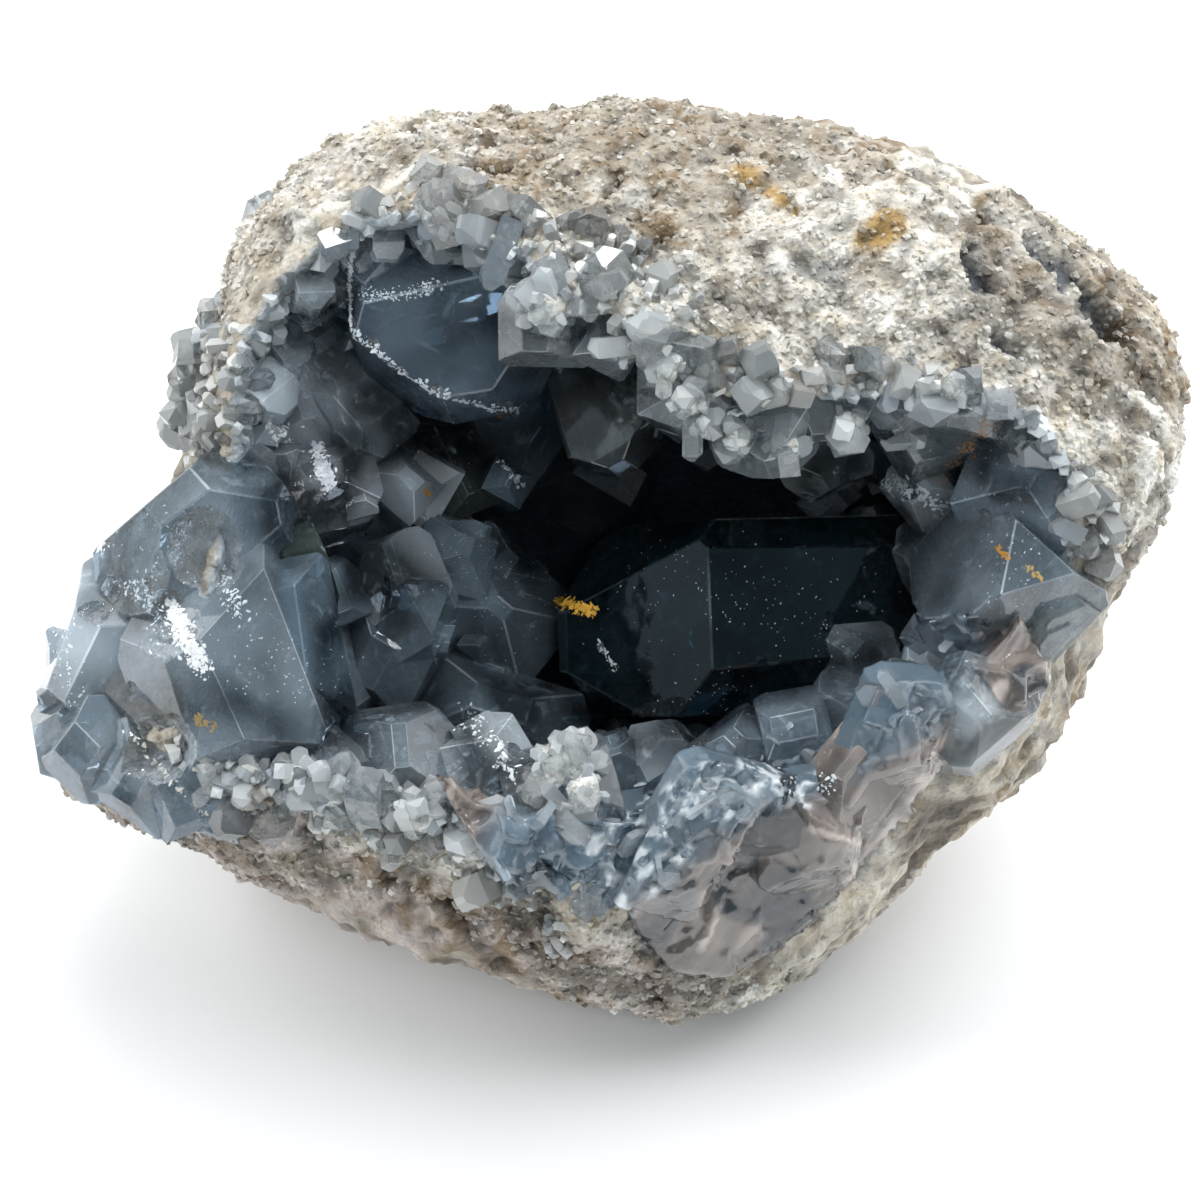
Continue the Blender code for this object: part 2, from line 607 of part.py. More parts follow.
def keep_main_piece(obj):
    """Stores what the Booleans leave, without chips and closed bubbles."""
    bpy.context.view_layer.update()
    graph = bpy.context.evaluated_depsgraph_get()
    obj.data = bpy.data.meshes.new_from_object(obj.evaluated_get(graph))
    obj.modifiers.clear()
    bm = bmesh.new()
    bm.from_mesh(obj.data)
    pieces, seen = [], set()
    for vert in bm.verts:
        if vert not in seen:
            pieces.append(piece_around(vert))
            seen |= pieces[-1]
    main_piece = max(pieces, key=len)
    bmesh.ops.delete(bm, geom=[v for v in bm.verts if v not in main_piece], context="VERTS")
    bm.to_mesh(obj.data)
    bm.free()
    obj.modifiers.new("fewer_slivers", "DECIMATE").ratio = LINING_SHARE


def make_rind(name, frame, grow=0.0, colour=None):
    """The rock: the nodule with its hollow and its break cut out of it."""
    rind = make_nodule(name, frame, grow, colour)
    boolean(rind, "DIFFERENCE", make_hollow(name + "_hollow", frame, grow))
    boolean(rind, "DIFFERENCE", make_vein(name + "_vein", frame, grow))
    return rind


def bed_radius(angle, level):
    """The crust's outside: on the hollow's wall, and out over the rim to a ragged edge."""
    wall = hollow_radius(angle, level) + 1
    if level < 6:
        return wall
    return max(wall, druse_radius(angle) + 2.5 * noise.noise(Vector((angle * 0.7, 0, 0))))


def make_lining(frame, colour):
    """The crust of crystals, trimmed to leave a hair's gap to the rock."""
    bed = funnel_bmesh(bed_radius, -HOLLOW_DEPTH - 1)
    lining = object_from(bed, "crystal_lining", frame, colour, 0.15)
    boolean(lining, "UNION", make_vein("lining_vein", frame, -1.0))
    boolean(lining, "INTERSECT", make_nodule("lining_limit", frame, BED_THICKNESS))
    boolean(lining, "DIFFERENCE", make_hollow("lining_inside", frame, LINING_THICKNESS))
    chance = random.Random(SEED)
    group = bpy.data.collections.new("crystals")
    bpy.context.scene.collection.children.link(group)
    crystals = [
        place_crystal(name, tip, direction, size, roll, frame, chance)
        for name, (tip, direction, size, roll) in CRYSTALS.items()
    ]
    crystals += fill_crystals(frame, chance)
    crystals += rim_crystals(frame, chance)
    for crystal in crystals:
        group.objects.link(crystal)
        bpy.context.scene.collection.objects.unlink(crystal)
    boolean(lining, "UNION", collection=group)
    boolean(lining, "DIFFERENCE", make_rind("rock_clearance", frame, FIT_GAP))
    keep_main_piece(lining)


def main():
    clear_scene()
    frame = mouth_frame()
    rind = make_rind("rock_rind", frame, colour=(0.56, 0.52, 0.46))
    boolean(rind, "DIFFERENCE", make_ground(frame))
    make_lining(frame, (0.28, 0.34, 0.40))


main()
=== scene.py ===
import json
import math
import random

import bmesh
import bpy
import numpy as np
from mathutils import Matrix, Vector, noise
from mathutils.bvhtree import BVHTree

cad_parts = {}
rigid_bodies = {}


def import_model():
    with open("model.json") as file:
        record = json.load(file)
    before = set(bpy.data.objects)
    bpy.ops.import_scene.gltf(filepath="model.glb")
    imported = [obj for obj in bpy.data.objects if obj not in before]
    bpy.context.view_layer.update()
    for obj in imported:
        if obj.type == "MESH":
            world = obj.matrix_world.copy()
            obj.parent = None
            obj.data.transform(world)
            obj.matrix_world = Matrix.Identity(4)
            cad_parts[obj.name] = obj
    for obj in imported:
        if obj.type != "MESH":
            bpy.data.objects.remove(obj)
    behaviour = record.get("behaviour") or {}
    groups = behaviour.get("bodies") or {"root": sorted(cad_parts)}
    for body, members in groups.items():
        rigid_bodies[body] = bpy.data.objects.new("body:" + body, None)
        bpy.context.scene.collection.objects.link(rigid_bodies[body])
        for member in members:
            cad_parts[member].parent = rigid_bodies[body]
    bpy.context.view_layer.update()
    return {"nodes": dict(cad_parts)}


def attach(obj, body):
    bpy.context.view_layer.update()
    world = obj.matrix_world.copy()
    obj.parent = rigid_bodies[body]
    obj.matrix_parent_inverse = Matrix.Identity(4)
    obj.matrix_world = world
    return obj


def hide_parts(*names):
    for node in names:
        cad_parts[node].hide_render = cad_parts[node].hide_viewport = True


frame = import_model()
scene = bpy.context.scene
mm = 0.001
noise.seed_set(5)  # else the leaning grains differ in each run

# Places are given in mm, as one looks straight into the stone's mouth:
# u to the right, v up the mouth and w out of it.
mouth = {
    "centre": (-1.03, -3.68, 52.0),
    "riseDeg": 45.0,
}
toWorld = Matrix.Translation(Vector(mouth["centre"]) * mm)
toWorld = toWorld @ Matrix.Rotation(math.radians(mouth["riseDeg"]), 4, "X") @ Matrix.Diagonal((mm, mm, mm, 1))
toMouth = toWorld.inverted()

# The camera looks along -w. One pixel of the 1200 x 1200 picture is this many mm at w = 0.
view = {
    "target": (-0.65, -5.2, 0.0),
    "away": 500.0,
    "pixel": 0.1304,
    "middle": (605.0, 560.0),
}


# Where points of the mouth's frame show in the picture, in pixels
def pixelOf(points):
    near = view["pixel"] * (1 - points[:, 2] / view["away"])
    across = view["middle"][0] + points[:, 0] / near
    down = view["middle"][1] - points[:, 1] / near
    return np.stack([across, down], axis=1)


def underPixel(x, y, w):
    near = view["pixel"] * (1 - w / view["away"])
    return Vector(((x - view["middle"][0]) * near, (view["middle"][1] - y) * near, w))


def linear(hexColour):
    parts = [int(hexColour[i:i + 2], 16) / 255 for i in (1, 3, 5)]
    return tuple(c / 12.92 if c < 0.04045 else ((c + 0.055) / 1.055) ** 2.4 for c in parts)


# Adds a node to any tree. Settings are its properties or its sockets' values, and links are what feeds its
# sockets, by name with _ for a space, or by place as i0, i1.
def addNode(tree, kind, settings=None, **links):
    node = tree.nodes.new(kind)
    for name, value in (settings or {}).items():
        if isinstance(name, str) and hasattr(node, name):
            setattr(node, name, value)
        else:
            node.inputs[name].default_value = value
    for name, source in links.items():
        key = int(name[1:]) if name[0] == "i" and name[1:].isdigit() else name.replace("_", " ")
        if isinstance(source, bpy.types.NodeSocket):
            tree.links.new(source, node.inputs[key])
        elif isinstance(source, str):
            node.inputs[key].default_value = (*linear(source), 1)
        else:
            node.inputs[key].default_value = source
    return node


def maths(tree, operation, first, second=0.0, clamp=False):
    settings = {"operation": operation, "use_clamp": clamp}
    return addNode(tree, "ShaderNodeMath", settings, i0=first, i1=second).outputs[0]


def mixed(tree, share, first, second, blend="MIX"):
    settings = {"data_type": "RGBA", "blend_type": blend}
    return addNode(tree, "ShaderNodeMix", settings, i0=share, i6=first, i7=second).outputs[2]


def ramp(tree, source, stops):
    node = addNode(tree, "ShaderNodeValToRGB", Fac=source)
    while len(node.color_ramp.elements) < len(stops):
        node.color_ramp.elements.new(0.5)
    for element, (place, value) in zip(node.color_ramp.elements, stops):
        element.position = place
        element.color = (*linear(value), 1) if isinstance(value, str) else (value, value, value, 1)
    return node.outputs["Color"]


def attribute(tree, name, output="Fac"):
    return addNode(tree, "ShaderNodeAttribute", {"attribute_name": name}).outputs[output]


def noiseOf(tree, spot, sizeMm, detail=4.0, rough=0.6, warp=0.0):
    settings = {"Scale": 1000 / sizeMm, "Detail": detail, "Roughness": rough, "Distortion": warp}
    return addNode(tree, "ShaderNodeTexNoise", settings, Vector=spot).outputs["Fac"]


def newMaterial(name):
    mat = bpy.data.materials.new(name)
    mat.use_nodes = True
    return mat, mat.node_tree, mat.node_tree.nodes["Principled BSDF"]


def plainMesh(obj, name):
    mesh = bpy.data.meshes.new_from_object(obj.evaluated_get(bpy.context.evaluated_depsgraph_get()))
    made = bpy.data.objects.new(name, mesh)
    scene.collection.objects.link(made)
    return made


def mergedCopy(node, name):
    made = bpy.data.objects.new(name, node.data.copy())
    scene.collection.objects.link(made)
    bm = bmesh.new()
    bm.from_mesh(made.data)
    bmesh.ops.remove_doubles(bm, verts=bm.verts, dist=1e-6)
    bm.to_mesh(made.data)
    bm.free()
    return made


def remeshed(obj, name, voxel):
    finer = obj.modifiers.new("finer", "REMESH")
    finer.mode = "VOXEL"
    finer.voxel_size = voxel * mm
    made = plainMesh(obj, name)
    obj.modifiers.remove(finer)
    return made


def placed(points, matrix):
    return (np.c_[points, np.ones(len(points))] @ np.array(matrix).T)[:, :3]


# A mesh's points and normals in the mouth's frame
def spotsOf(mesh):
    flat, normals = np.empty(len(mesh.vertices) * 3), np.empty(len(mesh.vertices) * 3)
    mesh.vertices.foreach_get("co", flat)
    mesh.vertices.foreach_get("normal", normals)
    normals = normals.reshape(-1, 3) @ np.array(toMouth.to_3x3()).T
    return placed(flat.reshape(-1, 3), toMouth), normals / (np.linalg.norm(normals, axis=1)[:, None] + 1e-12)


# What rays are cast at: a mesh, or its faces with other points
def treeOf(mesh, spots=None):
    points = [v.co for v in mesh.vertices] if spots is None else [Vector(spot) for spot in spots]
    return BVHTree.FromPolygons(points, [tuple(f.vertices) for f in mesh.polygons])


def moveTo(mesh, spots):
    world = placed(spots, toWorld)
    mesh.vertices.foreach_set("co", world.ravel())
    mesh.update()
    return world


def keepColours(mesh, tone, **amounts):
    layer = mesh.attributes.new("tone", "FLOAT_COLOR", "POINT")
    layer.data.foreach_set("color", np.c_[np.clip(tone, 0, 1), np.ones(len(tone))].ravel())
    for name, values in amounts.items():
        mesh.attributes.new(name, "FLOAT", "POINT").data.foreach_set("value", np.clip(values, 0, 1))


# How much of a stroke of the picture covers each pixel: 1 near its path, and 0 from one and a half times its
# half width
def strokeShare(pixels, path, half):
    nearest = np.full(len(pixels), 1e9)
    for start, end in zip(path, path[1:]):
        along = np.subtract(end, start).astype(float)
        share = np.clip(((pixels - start) @ along) / (along @ along), 0, 1)
        nearest = np.minimum(nearest, np.linalg.norm(pixels - start - share[:, None] * along, axis=1))
    return np.clip((1.5 - nearest / half) * 2, 0, 1)


def strokesShare(pixels, strokes):
    total = np.zeros(len(pixels))
    for path, half, amount in strokes:
        total = np.maximum(total, strokeShare(pixels, path, half) * amount)
    return total


def noisy(spots, size, shift=0.0, octaves=1):
    total = np.zeros(len(spots))
    for i in range(octaves):
        total += np.array([noise.noise(s) for s in spots / size * 2.1 ** i + shift]) / 1.7 ** i
    return total


# A surface of broken grains: each grain is a flat face that leans its own way
def grainy(spots, size, tilt, step):
    heights = np.empty(len(spots))
    for i, spot in enumerate(spots / size):
        place = noise.voronoi(spot)[1][0]
        leaning = noise.noise_vector(place * 3.7)
        heights[i] = (Vector(spot) - place).dot(leaning) * tilt + noise.noise(place * 5.3) * step
    return heights * size


print("rock")
# The rind's skin: granular celestite and limestone, in lumps, pits and layers
rockSkinPlan = {
    "voxel": 0.9,
    "lumps": [(11.0, 0.9), (4.6, 0.75), (2.3, 0.5)],  # (size, height) in mm
    "grain": (2.6, 0.75, 0.30),  # (size, tilt, step)
    "pitSize": 2.6,
    "pitDepth": {"all": 0.8, "brown": 3.2, "lilac": 1.2},
    "shadedGrooveDepth": 2.0,
    "wallLift": 0.9,  # the hollow's wall stands in the crystals' roots
    "layer": 2.1,  # the layers beside the break
    "layerHeight": 1.1,
    "breakWay": (0.32, -0.52, 0.79),
    "flankWay": (0.75, -0.62, 0.20),
    "endLayer": 1.7,  # the layers at the right end
    "endWay": (0.78, 0.62, -0.05),
    "endStroke": ([(1000, 200), (1080, 280), (1140, 380)], 55, 1.0),
    "bareBelow": 4.0,  # no grains near the ground
    "flatBelow": 0.5,
    "stains": {"broad": 24, "patchy": 7.0, "blotchy": 3.4},  # mm across
}
# What the rock shows in the picture, as strokes: (path in pixels, half width, amount)
rockStrokes = {
    "snow": [
        ([(560, 260), (700, 250), (840, 220)], 60, 0.7),
        ([(650, 310), (790, 300), (900, 330), (1010, 390)], 55, 1.0),
        ([(880, 240), (960, 290), (1070, 390), (1120, 500)], 55, 0.95),
        ([(930, 180), (1020, 220)], 30, 0.6),
        ([(230, 240), (330, 150), (450, 120)], 40, 0.7),
        ([(190, 790), (300, 820), (420, 830), (500, 850)], 30, 0.9),
        ([(450, 230), (520, 240)], 30, 0.5),
        ([(600, 960), (700, 990), (820, 990)], 26, 0.4),
    ],
    "brown": [
        ([(490, 155), (560, 190), (650, 200), (700, 215)], 36, 1.0),
        ([(560, 125), (740, 135), (880, 165)], 30, 0.8),
        ([(240, 260), (300, 190), (400, 140)], 22, 0.4),
        ([(400, 860), (440, 900), (500, 945), (570, 990)], 32, 1.0),
        ([(985, 215), (1060, 290)], 16, 0.8),
        ([(1110, 300), (1150, 350), (1165, 380)], 22, 0.7),
        ([(100, 790), (180, 850), (280, 890)], 24, 0.5),
        ([(990, 670), (1020, 690)], 12, 1.0),
        ([(960, 870), (1030, 780), (1090, 680)], 26, 0.7),
    ],
    "ochre": [
        ([(745, 178), (768, 186)], 11, 1.0),
        ([(780, 203), (795, 210)], 6, 0.9),
        ([(868, 245), (890, 228)], 13, 1.0),
        ([(250, 795), (262, 800)], 8, 0.7),
        ([(395, 825), (410, 832)], 8, 0.7),
        ([(990, 480), (1000, 500)], 8, 0.5),
    ],
    "lilac": [
        ([(150, 800), (300, 880), (450, 950), (620, 1000)], 40, 0.8),
        ([(300, 860), (380, 900)], 24, 0.6),
    ],
    # dark lines where the rock is sunk into grooves, painted dark as their shade
    "shadedGroove": [
        ([(1038, 240), (1075, 285), (1108, 330)], 11, 1.0),
        ([(975, 255), (990, 300)], 11, 0.7),
        ([(1000, 340), (1020, 350)], 7, 0.9),
        ([(800, 265), (860, 275)], 10, 0.4),
        ([(120, 790), (180, 850), (240, 895)], 9, 0.7),
    ],
    # where small clear crystals and where sugary grains grow
    "druse": [
        ([(222, 430), (245, 350), (290, 300), (345, 250), (405, 210), (455, 180)], 13, 0.6),
        ([(200, 440), (212, 385), (225, 335)], 15, 0.8),
        ([(465, 235), (540, 275), (600, 285), (640, 335), (665, 395), (720, 425), (790, 430), (850, 410),
          (900, 430)], 42, 1.0),
        ([(900, 430), (950, 405), (1010, 425), (1060, 465), (1090, 530)], 20, 0.8),
        ([(200, 768), (270, 785), (340, 800), (420, 812), (480, 822), (560, 805), (610, 770)], 26, 1.0),
        ([(470, 860), (520, 900), (560, 940)], 18, 0.5),
    ],
    "sugar": [
        ([(480, 190), (600, 240), (700, 270), (800, 290), (900, 320), (1000, 390), (1090, 480)], 62, 1.0),
        ([(560, 150), (700, 160), (850, 200), (960, 250)], 50, 0.7),
        ([(212, 300), (248, 245), (308, 178), (400, 130), (500, 110), (620, 120)], 24, 1.0),
        ([(120, 800), (200, 810), (300, 840), (420, 850), (520, 900), (600, 965), (760, 1000)], 40, 0.9),
        ([(1000, 330), (1080, 400), (1120, 500)], 40, 0.9),
        ([(1000, 240), (1100, 300), (1150, 400), (1140, 520)], 40, 0.6),
    ],
}
rockTones = {
    "base": "#b3ab9e", "snow": "#e2ded6", "brown": "#85735a", "ochre": "#a98c58", "lilac": "#b3a7a1",
    "shadedGroove": "#4a4f55",
}
# The hollow's wall, painted in shade where it shows between the crystals: blue-grey at the rim and near black
# deep in
wallShadeTones = {"rim": "#a3adb4", "deep": "#1b232b"}

seat = mergedCopy(frame["nodes"]["rock_rind"], "seat")
seatSpots, _ = spotsOf(seat.data)
seatTree = treeOf(seat.data, seatSpots)
rockSkin = remeshed(seat, "rockSkin", rockSkinPlan["voxel"])
bpy.data.objects.remove(seat)
print("rock faces", len(rockSkin.data.polygons))


# The hollow's wall looks back at the line down the middle of the mouth, or lies at its bottom
def onHollowWall(spots, normals):
    across = np.hypot(spots[:, 0], spots[:, 1]) + 1e-6
    inward = -(normals[:, 0] * spots[:, 0] + normals[:, 1] * spots[:, 1]) / across
    bottom = (normals[:, 2] > 0.6) & (spots[:, 2] < 0)
    near = (across < 62) & (spots[:, 2] > -27) & (spots[:, 2] < 32) & (np.linalg.norm(spots, axis=1) < 64)
    return ((inward > 0.05) | bottom) & near


def dressRock(obj, plan):
    spots, normals = spotsOf(obj.data)
    pixels = pixelOf(spots)
    seen = np.clip(normals[:, 2] * 4 + 0.8, 0, 1) * (spots[:, 2] > -14)
    hollow = onHollowWall(spots, normals)
    amounts = {kind: strokesShare(pixels, strokes) * seen for kind, strokes in rockStrokes.items()}
    broad = noisy(spots, plan["stains"]["broad"], 9.1)
    patchy = noisy(spots, plan["stains"]["patchy"], 3.3, 3)
    blotchy = noisy(spots, plan["stains"]["blotchy"], 6.1, 3)
    for kind in ("snow", "brown", "ochre", "lilac", "shadedGroove"):
        amounts[kind] = np.clip(amounts[kind] * (1 + 0.6 * broad + 1.7 * patchy), 0, 1)
    amounts["brown"] *= np.clip(0.35 + 2.4 * blotchy, 0, 1)
    heights = grainy(spots, *plan["grain"]) * (0.5 + 0.5 * amounts["snow"])
    for size, tall in plan["lumps"]:
        heights += tall * noisy(spots, size, size * 7)
    pits = np.clip(-noisy(spots, plan["pitSize"], 41.0) - 0.10, 0, 1)
    depth = plan["pitDepth"]
    heights -= pits * (depth["all"] + depth["brown"] * amounts["brown"] + depth["lilac"] * amounts["lilac"])
    heights -= plan["shadedGrooveDepth"] * amounts["shadedGroove"]
    # layers of the rind, one beside the other along the break and at the right end
    breakWay, flankWay = (np.array(plan[k]) / np.linalg.norm(plan[k]) for k in ("breakWay", "flankWay"))
    along = spots @ breakWay
    flank = np.clip((normals @ flankWay - 0.25) * 3, 0, 1)
    flank = flank * np.clip((44 - along) / 3, 0, 1) * np.clip((along - 8) / 6, 0, 1)
    rightEnd = strokesShare(pixels, [plan["endStroke"]]) * seen
    layered = np.c_[along, spots @ np.array((0.1, 0.1, 0.0)), spots[:, 0] * 0.06]
    layers = noisy(layered, plan["layer"], 5.0) * flank
    layered = np.c_[spots @ np.array(plan["endWay"]), spots[:, 1] * 0.1, spots[:, 0] * 0.05]
    layers += noisy(layered, plan["endLayer"], 15.0) * rightEnd * 0.8
    heights += layers * plan["layerHeight"]
    heights[hollow] = plan["wallLift"]
    world = moveTo(obj.data, spots + normals * heights[:, None])
    # the worn flat that it rests on stays flat
    flat = placed(spots, toWorld)[:, 2] < plan["flatBelow"] * mm
    world[:, 2] = np.where(flat, 0.0, np.maximum(world[:, 2], 0.0))
    obj.data.vertices.foreach_set("co", world.ravel())
    tone = np.array(linear(rockTones["base"])) * (1 + 0.2 * broad + 0.3 * patchy + 0.25 * blotchy)[:, None]
    # the snow, lilac, brown and ochre stains are the rock's own; the shaded grooves' dark tone is painted shade
    for kind in ("snow", "lilac", "brown", "ochre", "shadedGroove"):
        share = amounts[kind][:, None]
        tone = tone * (1 - share) + np.array(linear(rockTones[kind])) * share
    striped = np.clip(layers * 3.0, -0.55, 0.5)[:, None]
    tone = tone * (1 + striped * (0.8, 0.85, 0.9))
    # painted shade: the pits are darkened by up to a half
    tone *= (1 - 0.5 * np.clip(pits * 4, 0, 1))[:, None]
    # painted shade: the hollow's wall goes from the rim tone to near black deeper in the hollow
    deep = np.clip((18 - spots[:, 2]) / 24, 0, 1)[:, None]
    wall = np.array(linear(wallShadeTones["rim"])) * (1 - deep) + np.array(linear(wallShadeTones["deep"])) * deep
    tone[hollow] = wall[hollow]
    high = world[:, 2] >= plan["bareBelow"] * mm
    keepColours(obj.data, tone, druse=amounts["druse"] * high, sugar=amounts["sugar"] * (high & ~hollow))
    obj.data.shade_smooth()


dressRock(rockSkin, rockSkinPlan)

print("crystals")
# Angles of celestite's faces, from the axis that each name starts with
habit = {
    "sideSlope": 52.0,
    "endSlope": 38.0,
    "domeSlope": 50.5,
    "wobble": 0.05,
    "blockWidth": 9.5,  # only wider crystals have side faces
    "stoutWidth": 14.0,  # wider ones are rooted deeper in the rock
    "rootDepth": (0.8, 6.0),
    # how much lighter the worn edges are drawn: their wear, and a painted highlight along them
    "wearAndHighlight": 0.26,
    "wear": (0.07, 0.2),  # how wide an edge is worn, 0.009 of the crystal's width within these
}

